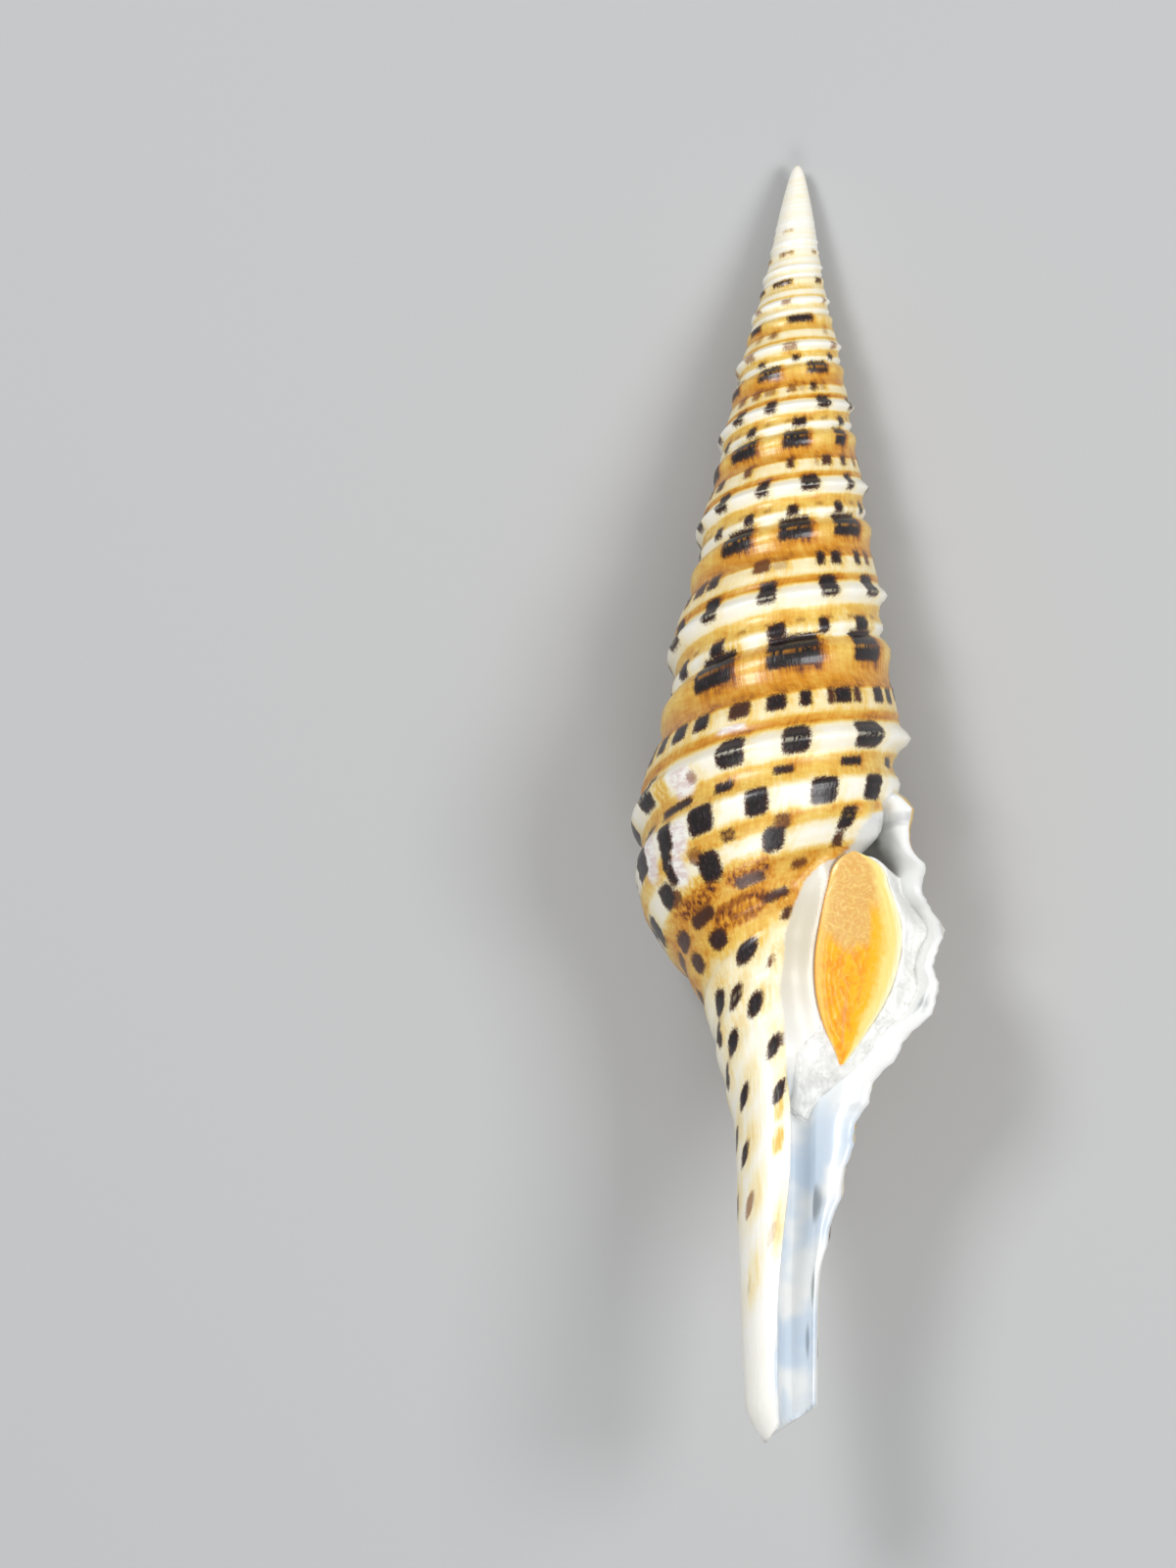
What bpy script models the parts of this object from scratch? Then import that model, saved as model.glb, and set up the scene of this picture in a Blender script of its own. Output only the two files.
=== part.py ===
"""A turrid seashell, Turris normandavidsoni, lying on its back with its opening up.

Three pieces: the shell, the operculum (the horny plate that closes the opening) and the wad of cotton
wool that holds the operculum in place.

The shell is worked out in its own frame first: "down" is the distance along the axis from the tip of
the spire, "turn" is the angle about the axis in turns (0 at the lip side, 0.25 at the front, 0.75 at
the back), and "band" says how far down a whorl a point is. A cord of the shell keeps one band value
while it winds round the axis, and one whorl is 1 in band.
"""

import math

import bmesh
import bpy
import numpy as np
from mathutils import Matrix

MM = 0.001

# Growth of the spiral
LENGTH = 100.0 * MM
KEEL_START = 45.0 * MM
GROWTH = 1.33
PLAIN_TIP = 5.0 * MM
LIP_DOWN = 61.1 * MM
LIP_RADIUS = 12.07 * MM
RADIUS_POWER = 0.8316
TIP_BLUNTNESS = 0.28 * MM
TIP_BLUNT_TO = 4.0 * MM
RELIEF_FROM = 3.0 * MM
RELIEF_FULL = 9.0 * MM
MEAN_RATIO = 0.965

# Canal
CANAL_RADIUS = 3.4 * MM
CANAL_FROM = 52.0 * MM
CANAL_FULL = 62.0 * MM
TIP_SLOPE = 2.2 * MM
TIP_LONGEST_TURN = 0.4

# Aperture and lip
COLUMELLA_TURN = 0.27
SUTURE = -0.68
OPENING_FROM = 0.31
OPENING_FULL = 0.52
LIP_EDGE = 0.55 * MM
LIP_WALL = 1.25 * MM
CANAL_WALL = 0.6 * MM
SHOULDER_DIP = 0.085
SHOULDER_BAND = -0.43
SHOULDER_WIDTH = 0.13
LAST_WHORL_FROM = 0.55
FLARE_FROM = -0.07

# Hollow behind the lip: turns from the lip's edge of the points round its inside, how much less deep it is
# at the canal, and where down the shell it changes from the mouth to the canal
HOLLOW_TURNS = (0.0, -0.004, -0.042, -0.125, -0.17, -0.11, 0.02, 0.15)
DEEP_KNOTS = (3, 4, 5)
CANAL_SHALLOWER = 0.5
MOUTH_TO = 64.0 * MM
CANAL_AT = 76.0 * MM
MIN_HOLLOW = 0.25 * MM
HOLLOW_TOP = 30.0 * MM

# Pillar in the middle
PILLAR_RADIUS = 2.6 * MM
PILLAR_LOSS = 1.7 * MM
PILLAR_FROM = 66.0 * MM
PILLAR_TO = 80.0 * MM
PILLAR_BAND = 0.33

# Pose on the surface
REST_TILT = math.radians(9.95)
FLAT_DEPTH = 0.25 * MM

# Operculum: its two ends down the shell, how far it stands in front of the axis there, its thickness
OPERCULUM_TOP = 55.5 * MM
OPERCULUM_TIP = 71.3 * MM
OPERCULUM_FRONT_TOP = 5.85 * MM
OPERCULUM_FRONT_TIP = 2.4 * MM
OPERCULUM_THICKNESS = 0.45 * MM
OPERCULUM_DISH = 0.25 * MM
OPERCULUM_ROWS = 12
OPERCULUM_COLUMNS = 4

# Cotton wad: the gap that it keeps to the shell and the operculum, where its sections are down the shell,
# and how much of the hollow's depth each of them fills
GAP = 0.35 * MM
WAD_LEFT_TURN = 0.12
WAD_RIGHT_TURN = -0.012
WAD_SECTIONS = (
    (56.8 * MM, 0.25),
    (58.5 * MM, 0.45),
    (60.5 * MM, 0.65),
    (62.7 * MM, 0.80),
    (65.0 * MM, 0.80),
    (67.5 * MM, 0.80),
    (70.0 * MM, 0.78),
    (72.0 * MM, 0.75),
    (73.6 * MM, 0.70),
    (74.8 * MM, 0.60),
)

# Mesh
WHORLS_ABOVE = 12
OUTER_COLUMNS = 26
KNOTS = 9
MERGE_ROWS_ABOVE = 15.0 * MM
MERGE_COLUMNS_ABOVE = 12.0 * MM
APEX = 0.25 * MM
TIP_SNAP = 0.15 * MM

# Radius of a spire whorl over the keel's radius, from its suture down to the next one
WHORL = (
    (-0.68, 0.900),
    (-0.625, 0.965),
    (-0.55, 0.990),
    (-0.47, 0.955),
    (-0.38, 0.925),
    (-0.27, 0.972),
    (-0.15, 0.968),
    (-0.08, 0.955),
    (0.00, 1.035),
    (0.08, 0.955),
    (0.17, 0.940),
    (0.26, 0.960),
)

# The same ratio on the last whorl below the white cord, where it draws in to the canal
BASE = (
    (0.32, 0.925),
    (0.40, 0.885),
    (0.46, 0.845),
    (0.54, 0.745),
    (0.62, 0.655),
    (0.71, 0.545),
    (0.79, 0.433),
    (0.87, 0.370),
    (0.95, 0.325),
    (1.10, 0.240),
    (1.24, 0.155),
    (1.38, 0.070),
    (1.58, 0.000),
)
BASE_CORDS = (0.54, 0.71, 0.87, 1.03, 1.19)
CORD_HEIGHT = 0.020
CORD_HALF_WIDTH = 0.08
LIP_PULL = 0.055
CANAL_ROWS = 15
CANAL_ROW_STEP = 0.08

# Where the lip's edge is, in turns past the lip side, for each band
LIP_TURN = (
    (-0.68, 0.070),
    (-0.55, 0.060),
    (-0.38, 0.040),
    (-0.27, 0.010),
    (-0.18, -0.005),
    (-0.08, 0.020),
    (0.00, 0.035),
    (0.32, 0.042),
    (0.80, 0.045),
    (1.80, 0.045),
)

# How far the lip's edge flares out, for each band
LIP_FLARE = (
    (-0.68, 0.1 * MM),
    (-0.55, 0.5 * MM),
    (-0.45, 0.9 * MM),
    (-0.30, 0.6 * MM),
    (-0.17, 0.0 * MM),
    (-0.08, 0.4 * MM),
    (0.00, 0.6 * MM),
    (0.30, 0.4 * MM),
    (0.70, 0.0 * MM),
)

# Sideways bend of the canal towards the lip, and its radius over CANAL_RADIUS
CANAL_BEND = (
    (62.0 * MM, 0.0),
    (66.0 * MM, 0.3 * MM),
    (70.0 * MM, 0.65 * MM),
    (78.0 * MM, 1.1 * MM),
    (88.0 * MM, 1.25 * MM),
    (95.0 * MM, 1.55 * MM),
    (100.0 * MM, 1.75 * MM),
)
CANAL_TAPER = (
    (70.0 * MM, 1.0),
    (80.0 * MM, 1.0),
    (88.0 * MM, 0.9),
    (96.0 * MM, 0.83),
    (100.0 * MM, 0.66),
)

# Side edges of the operculum, from its top to its tip
OPERCULUM_LEFT = (
    (55.5 * MM, 5.3 * MM),
    (56.2 * MM, 4.5 * MM),
    (58.4 * MM, 3.7 * MM),
    (60.5 * MM, 3.3 * MM),
    (64.0 * MM, 2.95 * MM),
    (66.7 * MM, 3.25 * MM),
    (68.6 * MM, 3.85 * MM),
    (70.3 * MM, 4.7 * MM),
    (71.3 * MM, 5.05 * MM),
)
OPERCULUM_RIGHT = (
    (55.5 * MM, 6.0 * MM),
    (56.3 * MM, 7.4 * MM),
    (58.2 * MM, 8.4 * MM),
    (61.2 * MM, 9.4 * MM),
    (63.5 * MM, 9.3 * MM),
    (66.3 * MM, 8.45 * MM),
    (69.3 * MM, 6.7 * MM),
    (71.3 * MM, 5.3 * MM),
)


def smooth(points, x):
    """A cubic curve through a few (x, y) points, level beyond both ends."""
    px, py = np.array(points).T
    slope = np.gradient(py, px)
    x = np.clip(x, px[0], px[-1])
    i = np.clip(np.searchsorted(px, x) - 1, 0, len(px) - 2)
    step = px[i + 1] - px[i]
    t = (x - px[i]) / step
    start = (1 + 2 * t) * (1 - t) ** 2 * py[i] + t * (1 - t) ** 2 * step * slope[i]
    end = t * t * (3 - 2 * t) * py[i + 1] + t * t * (t - 1) * step * slope[i + 1]
    return start + end


def ramp(low, high, x):
    """0 below low, 1 above high, and smooth between them."""
    t = np.clip((x - low) / (high - low), 0, 1)
    return t * t * (3 - 2 * t)


def down_at(spiral):
    """Distance down the axis for band + turn: it grows by GROWTH a turn below the plain tip."""
    tip = math.log(PLAIN_TIP / KEEL_START) / math.log(GROWTH)
    grown = KEEL_START * GROWTH ** np.maximum(spiral, tip)
    return grown + (np.minimum(spiral, tip) - tip) * PLAIN_TIP * math.log(GROWTH)


def spiral_at(down):
    """Band + turn for a distance down the axis."""
    return np.log(down / KEEL_START) / math.log(GROWTH)


def keel_radius(down):
    down = np.maximum(down, 0)
    blunt = TIP_BLUNTNESS * (1 - np.exp(-down / TIP_BLUNTNESS)) * np.exp(-down / TIP_BLUNT_TO)
    return LIP_RADIUS * (down / LIP_DOWN) ** RADIUS_POWER + blunt


def canal_radius(down):
    return CANAL_RADIUS * smooth(CANAL_TAPER, down) * ramp(CANAL_FROM, CANAL_FULL, down)


def cord_relief(band):
    """Rounded cords on the base, as a share of the keel's radius."""
    relief = np.zeros_like(band)
    for cord in BASE_CORDS:
        away = np.clip((band - cord) / CORD_HALF_WIDTH, -1, 1)
        relief = relief + CORD_HEIGHT * np.cos(away * math.pi / 2) ** 2
    return relief


def ratio(band, pull):
    """Radius over the keel's radius: the whorl's profile again and again, then the base."""
    whorl = WHORL + ((1 + SUTURE, WHORL[0][1]),)
    spire = smooth(whorl, (band - SUTURE) % 1 + SUTURE)
    pulled = band + pull * ramp(0.28, 0.45, band)
    base = smooth(WHORL[-3:] + BASE, pulled) + cord_relief(band)
    return np.where(band < WHORL[-1][0], spire, base)


def radius_at(turn, down, band):
    """Radius of the outside of the shell."""
    relief = ramp(RELIEF_FROM, RELIEF_FULL, down)
    pull = LIP_PULL * ramp(0.5, 1.0, turn)
    body = keel_radius(down) * (MEAN_RATIO + (ratio(band, pull) - MEAN_RATIO) * relief)
    last = ramp(LAST_WHORL_FROM, 1.0, turn) * (band > SUTURE)
    body = body * (1 - last * SHOULDER_DIP * np.exp(-((band - SHOULDER_BAND) / SHOULDER_WIDTH) ** 2))
    near_edge = ramp(FLARE_FROM, 0.0, turn - 1 - smooth(LIP_TURN, band))
    body = body + smooth(LIP_FLARE, band) * near_edge * (band > SUTURE)
    return (body ** 3 + canal_radius(down) ** 3) ** (1 / 3)


def polar(turn, radius, down):
    """Side and front of a point, from its angle and distance about the bent axis."""
    side = radius * np.cos(2 * math.pi * turn) + smooth(CANAL_BEND, down)
    front = radius * np.sin(2 * math.pi * turn)
    return side, front


def columella_radius(turn, down):
    """Radius of the pillar in the middle, which the last whorl winds about."""
    band = np.maximum(spiral_at(down) - turn, PILLAR_BAND)
    inner = PILLAR_RADIUS - PILLAR_LOSS * ramp(PILLAR_FROM, PILLAR_TO, down)
    return np.sqrt((keel_radius(down) * ratio(band, 0.0)) ** 2 + inner ** 2)


def cavity_knot(knot, lip, down, margin):
    """One of the points round the inside of the opening, from the lip's edge to the columella.

    margin draws the point in from the shell, for what is stuffed into the opening.
    """
    canal = ramp(MOUTH_TO, CANAL_AT, down)
    wall = LIP_WALL + (CANAL_WALL - LIP_WALL) * canal + margin
    depth = 1 - CANAL_SHALLOWER * canal if knot in DEEP_KNOTS else 1
    turn = lip + HOLLOW_TURNS[knot] * depth
    outer = radius_at(1 + turn, down, spiral_at(down) - 1 - turn)
    pillar = columella_radius(turn, down) + margin
    pillar = np.minimum(pillar, outer - wall - MIN_HOLLOW)
    radii = (
        outer,
        outer - LIP_EDGE - margin,
        outer - wall * (1.25 - 0.25 * canal),
        outer - wall,
        0.55 * outer + 0.45 * pillar - wall * 0.5,
        pillar,
        pillar,
        pillar + (0.35 - 0.1 * canal) * CANAL_RADIUS * canal,
    )
    return polar(turn, radii[knot], down)


def opening_at(band):
    return ramp(OPENING_FROM, OPENING_FULL, band)


def strip_knots(bands):
    """The knots across the opening's strip of columns, for one or more rows of bands."""
    lip = smooth(LIP_TURN, bands[0] - 1)
    opened = opening_at(bands[0])
    knots = []
    for k in range(KNOTS):
        share = k / (KNOTS - 1)
        turn = lip + (COLUMELLA_TURN - lip) * share
        down = down_at(bands[k] + turn)
        if k == 0:
            radius = radius_at(1 + turn, down, bands[k] - 1)
        else:
            radius = radius_at(turn, down, bands[k])
        side, front = polar(turn, radius, down)
        if k < KNOTS - 1:
            inside, ahead = cavity_knot(k, lip, np.maximum(down, HOLLOW_TOP), 0.0)
            side = side + (inside - side) * opened
            front = front + (ahead - front) * opened
        knots.append((side, down, front))
    return knots


def tip_down(turn):
    """The end of the canal, which is cut off at a slope."""
    shorter = 0.5 - 0.5 * np.cos(2 * math.pi * (turn - TIP_LONGEST_TURN))
    return LENGTH - TIP_SLOPE * shorter ** 2


def shell_rows():
    """Band of every row: at the columella's side, and at the lip's side one whorl above."""
    whorl = [band for band, _ in WHORL]
    rows = [band - back for back in range(WHORLS_ABOVE, 0, -1) for band in whorl]
    rows += whorl + [band for band, _ in BASE]
    rows += [rows[-1] + CANAL_ROW_STEP * (step + 1) for step in range(CANAL_ROWS)]
    return np.array(rows)


def column_turn(column, band):
    """Turn of an outer column: they spread evenly between the columella and the lip's edge."""
    edge = 1 + smooth(LIP_TURN, band)
    share = column / OUTER_COLUMNS
    return COLUMELLA_TURN + (edge - COLUMELLA_TURN) * share


def ring_bands(turn):
    return spiral_at(tip_down(turn)) - turn


def shell_columns():
    """Every column's points (side, down, front) for all rows, then its point at the canal's tip."""
    rows = shell_rows()
    per_whorl = len(WHORL)
    start = np.concatenate([rows[:per_whorl], rows[:-per_whorl] + 1])
    strip = []
    ring_lip = LIP_TURN[-1][1]
    for k in range(KNOTS - 1):
        share = k / (KNOTS - 1)
        strip.append(start + (rows - start) * share)
    strip.append(rows)
    tip = []
    for k in range(KNOTS):
        turn = ring_lip + (COLUMELLA_TURN - ring_lip) * k / (KNOTS - 1)
        tip.append(np.array([ring_bands(turn)]))
    columns = []
    for points, end in zip(strip_knots(strip)[:-1], strip_knots(tip)[:-1]):
        columns.append([np.append(value, last) for value, last in zip(points, end)])
    for column in range(OUTER_COLUMNS):
        band = np.append(rows, 0.0)
        turn = column_turn(column, band)
        turn[-1] = column_turn(column, LIP_TURN[-1][0])
        band[-1] = ring_bands(turn[-1])
        down = down_at(band + turn)
        side, front = polar(turn, radius_at(turn, down, band), down)
        columns.append([side, down, front])
    return columns


def shell_mesh():
    """Join the columns: the last one meets the first, one whorl further down."""
    columns = shell_columns()
    per_whorl = len(WHORL)
    rows = len(columns[0][0]) - 1
    count = len(columns)
    mesh = bmesh.new()
    apex = mesh.verts.new(place(0, 0, 0))
    rings = [mesh.verts.new(place(*(value[-1] for value in column))) for column in columns]
    made = {}

    def vertex(i, j):
        if i == count:
            i, j = 0, j + per_whorl
        if j >= rows:
            return rings[i]
        side, down, front = (value[j] for value in columns[i])
        end = columns[i][1][-1]
        if down >= end - TIP_SNAP:
            return rings[i]
        if down < MERGE_COLUMNS_ABOVE and i % 2:
            return vertex(i - 1, j)
        if down < MERGE_ROWS_ABOVE and j % 2:
            return vertex(i, j - 1)
        if down < APEX or j < 1:
            return apex
        if (i, j) not in made:
            made[i, j] = mesh.verts.new(place(side, down, front))
        return made[i, j]

    for i in range(count):
        for j in range(-per_whorl, rows):
            if j < 0 and i != count - 1:
                continue
            corners = [vertex(i + 1, j), vertex(i + 1, j + 1)]
            if j >= 0:
                corners += [vertex(i, j + 1), vertex(i, j)]
            else:
                corners += [apex]
            corners = list(dict.fromkeys(corners))
            if len(corners) > 2 and mesh.faces.get(corners) is None:
                mesh.faces.new(corners)
    tip = mesh.faces.new(rings)
    bmesh.ops.triangulate(mesh, faces=[tip], ngon_method="EAR_CLIP")
    bmesh.ops.recalc_face_normals(mesh, faces=mesh.faces[:])
    return mesh


def operculum_front(down):
    """How far the operculum's middle plane stands in front of the axis."""
    share = (down - OPERCULUM_TOP) / (OPERCULUM_TIP - OPERCULUM_TOP)
    return OPERCULUM_FRONT_TOP + (OPERCULUM_FRONT_TIP - OPERCULUM_FRONT_TOP) * share


def operculum_mesh():
    """A leaf-shaped sheet, a little dished, which Solidify thickens."""
    mesh = bmesh.new()
    bmesh.ops.create_grid(mesh, x_segments=OPERCULUM_COLUMNS, y_segments=OPERCULUM_ROWS, size=0.5)
    for vert in mesh.verts:
        across, along = vert.co.x + 0.5, 0.5 - vert.co.y
        along = 0.5 - 0.5 * math.cos(math.pi * along)
        down = OPERCULUM_TOP + (OPERCULUM_TIP - OPERCULUM_TOP) * along
        left = float(smooth(OPERCULUM_LEFT, down))
        right = float(smooth(OPERCULUM_RIGHT, down))
        rim = (2 * across - 1) ** 2
        front = operculum_front(down) + OPERCULUM_DISH * rim * math.sin(math.pi * along)
        vert.co = place(left + (right - left) * across, down, front)
    return mesh


def wad_section(down, fill):
    """Outline of the cotton across the opening: round the hollow, then across under the operculum."""
    lip = smooth(LIP_TURN, spiral_at(down) - 1)
    outer = radius_at(1 + lip, down, spiral_at(down) - 1 - lip)
    top = operculum_front(min(down, OPERCULUM_TIP)) - OPERCULUM_THICKNESS / 2 - GAP
    left = np.array(polar(WAD_LEFT_TURN, columella_radius(WAD_LEFT_TURN, down) + GAP, down))
    left[1] = min(left[1], top)
    right = np.array(polar(lip + WAD_RIGHT_TURN, outer - 1.25 * LIP_WALL - GAP, down))
    middle = (left + right) / 2
    deep = [np.array(cavity_knot(knot, lip, down, GAP)) for knot in range(2, 7)]
    points = [middle + (point - middle) * fill for point in deep] + [left]
    points += [(left[0] + (right[0] - left[0]) * share, top) for share in (0.3, 0.7)]
    points.append(right)
    return [place(side, down, front) for side, front in points]


def wad_mesh():
    mesh = bmesh.new()
    loops = [[mesh.verts.new(point) for point in wad_section(*section)] for section in WAD_SECTIONS]
    count = len(loops[0])
    for above, below in zip(loops, loops[1:]):
        for i in range(count):
            k = (i + 1) % count
            mesh.faces.new((above[i], above[k], below[k], below[i]))
    mesh.faces.new(loops[0])
    mesh.faces.new(loops[-1])
    bmesh.ops.triangulate(mesh, faces=mesh.faces[-2:], ngon_method="EAR_CLIP")
    bmesh.ops.recalc_face_normals(mesh, faces=mesh.faces[:])
    return mesh


def place(side, down, front):
    """A point of the shell's own frame, with the spire towards +Y and the opening up."""
    return (side, LENGTH / 2 - down, front)


def rest_matrix(mesh):
    """Lean the shell so that it rests on its back, centred on the origin.

    It is a little too low, and what is under z = 0 is taken off for the flat spots.
    """
    lean = Matrix.Rotation(-REST_TILT, 4, "X")
    points = np.array([lean @ vert.co for vert in mesh.verts])
    low, high = points.min(axis=0), points.max(axis=0)
    middle = (low + high) / 2
    return Matrix.Translation((-middle[0], -middle[1], -low[2] - FLAT_DEPTH)) @ lean


def cut_flats(mesh):
    """Take off what is below z = 0, which leaves small flat spots."""
    geometry = mesh.verts[:] + mesh.edges[:] + mesh.faces[:]
    bmesh.ops.bisect_plane(mesh, geom=geometry, plane_co=(0, 0, 0), plane_no=(0, 0, 1), clear_inner=True)
    bmesh.ops.holes_fill(mesh, edges=[edge for edge in mesh.edges if edge.is_boundary])


def new_object(name, mesh, material, collection):
    data = bpy.data.meshes.new(name)
    mesh.to_mesh(data)
    mesh.free()
    data.materials.append(material)
    data.shade_smooth()
    data.set_sharp_from_angle(angle=math.radians(50))
    piece = bpy.data.objects.new(name, data)
    collection.objects.link(piece)
    return piece


def material(name, colour, roughness):
    made = bpy.data.materials.new(name)
    made.use_nodes = True
    shader = made.node_tree.nodes["Principled BSDF"]
    shader.inputs["Base Color"].default_value = (*colour, 1)
    shader.inputs["Roughness"].default_value = roughness
    return made


def build():
    for piece in list(bpy.data.objects):
        bpy.data.objects.remove(piece)
    collection = bpy.data.collections.new("turris_normandavidsoni")
    bpy.context.scene.collection.children.link(collection)
    mesh = shell_mesh()
    rest = rest_matrix(mesh)
    mesh.transform(rest)
    cut_flats(mesh)
    new_object("shell", mesh, material("shell", (0.80, 0.62, 0.36), 0.3), collection)
    mesh = operculum_mesh()
    mesh.transform(rest)
    plate = new_object("operculum", mesh, material("horn", (0.85, 0.42, 0.04), 0.35), collection)
    thicken = plate.modifiers.new("thickness", "SOLIDIFY")
    thicken.thickness = OPERCULUM_THICKNESS
    thicken.offset = 0
    mesh = wad_mesh()
    mesh.transform(rest)
    new_object("cotton_wad", mesh, material("cotton", (0.88, 0.88, 0.85), 0.95), collection)


build()
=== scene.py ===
"""Looks of the turrid seashell: its fine cords and painted spots, the horny operculum and the cotton wool.

The shell's own frame is that of the CAD source: "down" is the distance along the axis from the tip of the
spire, "turn" the angle about the axis in turns (0 at the lip side, 0.25 at the front, 0.75 at the back), and
"band" how far down a whorl a point is. A cord keeps one band value, and one whorl is 1 in band.
"""

import math
from types import SimpleNamespace

import bmesh
import bpy
import numpy as np
from mathutils import Matrix, Vector

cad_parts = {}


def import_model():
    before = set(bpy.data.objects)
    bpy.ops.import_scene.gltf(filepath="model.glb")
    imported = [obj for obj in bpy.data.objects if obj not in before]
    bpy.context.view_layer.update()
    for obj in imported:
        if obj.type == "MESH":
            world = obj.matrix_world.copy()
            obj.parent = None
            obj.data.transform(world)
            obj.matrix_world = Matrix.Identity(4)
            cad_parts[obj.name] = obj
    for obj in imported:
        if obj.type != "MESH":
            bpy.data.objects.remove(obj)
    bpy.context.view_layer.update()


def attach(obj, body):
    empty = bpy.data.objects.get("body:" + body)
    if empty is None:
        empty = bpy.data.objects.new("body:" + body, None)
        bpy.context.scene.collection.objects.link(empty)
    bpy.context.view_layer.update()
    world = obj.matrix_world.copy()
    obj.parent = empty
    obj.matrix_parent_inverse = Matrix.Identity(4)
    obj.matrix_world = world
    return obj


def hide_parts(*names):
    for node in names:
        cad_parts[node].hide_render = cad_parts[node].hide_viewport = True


MM = 0.001
PHOTO_WIDTH = 1200
PHOTO_HEIGHT = 1600
TINY = 1e-9
SEED = 7


def thousandths(table):
    """The tables give distances in mm and all else in thousandths, so every number is divided by 1000."""
    if isinstance(table, tuple):
        return tuple(thousandths(item) for item in table)
    return table / 1000


# Growth of the spiral
LENGTH = 100.0 * MM
KEEL_START = 45.0 * MM
GROWTH = 1.33
PLAIN_TIP = 5.0 * MM
LIP_DOWN = 61.1 * MM
LIP_RADIUS = 12.07 * MM
RADIUS_POWER = 0.8316
TIP_BLUNTNESS = 0.28 * MM
TIP_BLUNT_TO = 4.0 * MM
SLIM_TIP = 0.25 * MM
SLIM_TIP_AT = (9.5 * MM, 7.0 * MM)
RELIEF_RANGE = (3.0 * MM, 9.0 * MM)
MEAN_RATIO = 0.965

# Canal
CANAL_RADIUS = 3.4 * MM
CANAL_RANGE = (52.0 * MM, 62.0 * MM)
TIP_SLOPE = 3.1 * MM
TIP_LONGEST_TURN = 0.46

# Opening and lip
COLUMELLA_TURN = 0.27
SUTURE = -0.68
OPENING_BANDS = (0.31, 0.52)
LIP_EDGE = 0.55 * MM
LIP_WALL = 1.25 * MM
LIP_SLANT = 0.65 * MM
EDGE_SWELL = 0.6 * LIP_EDGE
SHORT_OF_EDGE = 0.03
SHOULDER_DIP = 0.085
SHOULDER_BAND = -0.43
SHOULDER_WIDTH = 0.13
LAST_WHORL_FROM = 0.55
FLARE_FROM = -0.07

# Knots of the curve round the inside of the opening: the turn of each past the lip's edge, and in the canal
# the place of each but the first, side and front over the canal's radius
HOLLOW_TURNS = (0.0, -0.004, -0.042, -0.125, -0.17, -0.11, 0.02, 0.15)
PILLAR_KNOTS = (5, 6, 7)
CALLUS_KNOTS = ((6, 1.12), (7, 0.55))
CANAL_TROUGH = thousandths((
    (840, 200), (720, 20), (580, -130), (420, -200), (250, -180), (90, -20), (-20, 380),
))
TROUGH_RANGE = (64.0 * MM, 76.0 * MM)
MIN_HOLLOW = 0.25 * MM
HOLLOW_TOP = 30.0 * MM
PILLAR_RADIUS = 2.6 * MM
PILLAR_LOSS = 1.7 * MM
PILLAR_RANGE = (66.0 * MM, 80.0 * MM)
PILLAR_BAND = 0.33

# Pose on the surface, as in the CAD source
REST_TILT = math.radians(9.95)
REST_SHIFT = (-0.9084 * MM, 0.0124 * MM, 10.142 * MM)

# Mesh of the shell: the steps between the opening's knots, and where the knots are along their curve
OUTER_COLUMNS = 180
KNOT_STEPS = (6, 6, 7, 5, 7, 6, 6, 7)
KNOT_AT = (0.0, 0.05, 0.19, 0.36, 0.44, 0.60, 0.74, 0.86, 1.0)
WHORLS_ABOVE = 12
ROW_GAP = 0.026
BASE_ROW_GAP = 0.023
CANAL_ROW_GAP = 0.022
MERGE_2_ABOVE = 19.0 * MM
MERGE_4_ABOVE = 8.0 * MM
APEX = 0.12 * MM
TIP_SNAP = 0.15 * MM
STEEPEST = 1.6
OUTSIDE = -1.0

# Radius of a spire whorl over the keel's radius, from its suture down to the next one
WHORL = thousandths((
    (-680, 900), (-625, 965), (-550, 980), (-470, 950), (-380, 935), (-270, 960), (-150, 965), (-80, 970),
    (0, 1038), (80, 955), (170, 925), (260, 945),
))

# The same ratio on the last whorl below the white cord, where it draws in to the canal
BASE = thousandths((
    (320, 905), (400, 860), (460, 790), (540, 675), (620, 570), (710, 465), (790, 395), (870, 350),
    (950, 310), (1100, 240), (1240, 155), (1380, 70), (1580, 0),
))
BASE_CORDS = (0.54, 0.71, 0.87, 1.03, 1.19)
CORD_HEIGHT = 0.020
CORD_HALF_WIDTH = 0.08

# The base draws in towards the lip's edge
LIP_PULL = 0.055
LIP_PULL_FROM = 0.5
LIP_PULL_BANDS = (0.28, 0.45)

# The whorls are fuller above the keel on the side away from the lip, and flatter just above the lip
LEFT_SWELL = 0.055
LEFT_SWELL_RANGE = (18.0 * MM, 34.0 * MM)
LEFT_SWELL_AT = (-0.20, 0.27)
ABOVE_LIP_DIP = 0.065
ABOVE_LIP_AT = (0.20, 0.20)
ABOVE_LIP_TURNS = 0.17

# Fine raised threads of each whorl: band, and height over the keel's radius
THREADS = thousandths((
    (-645, 4), (-585, 9), (-535, 3), (-455, 3), (-360, 3), (-312, 9), (-225, 2), (-142, 9), (-105, 7),
    (-35, 5), (0, 6), (40, 5), (105, 7), (145, 6), (190, 8), (235, 6), (270, 5),
))
BASE_THREADS = thousandths((
    (320, 9), (365, 4), (410, 7), (455, 8), (500, 6), (550, 9), (600, 5), (650, 7), (700, 8), (750, 6),
    (800, 8), (850, 7), (900, 6), (960, 7), (1030, 8), (1100, 6), (1180, 7),
))
THREAD_HALF_WIDTH = 0.0165

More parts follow.
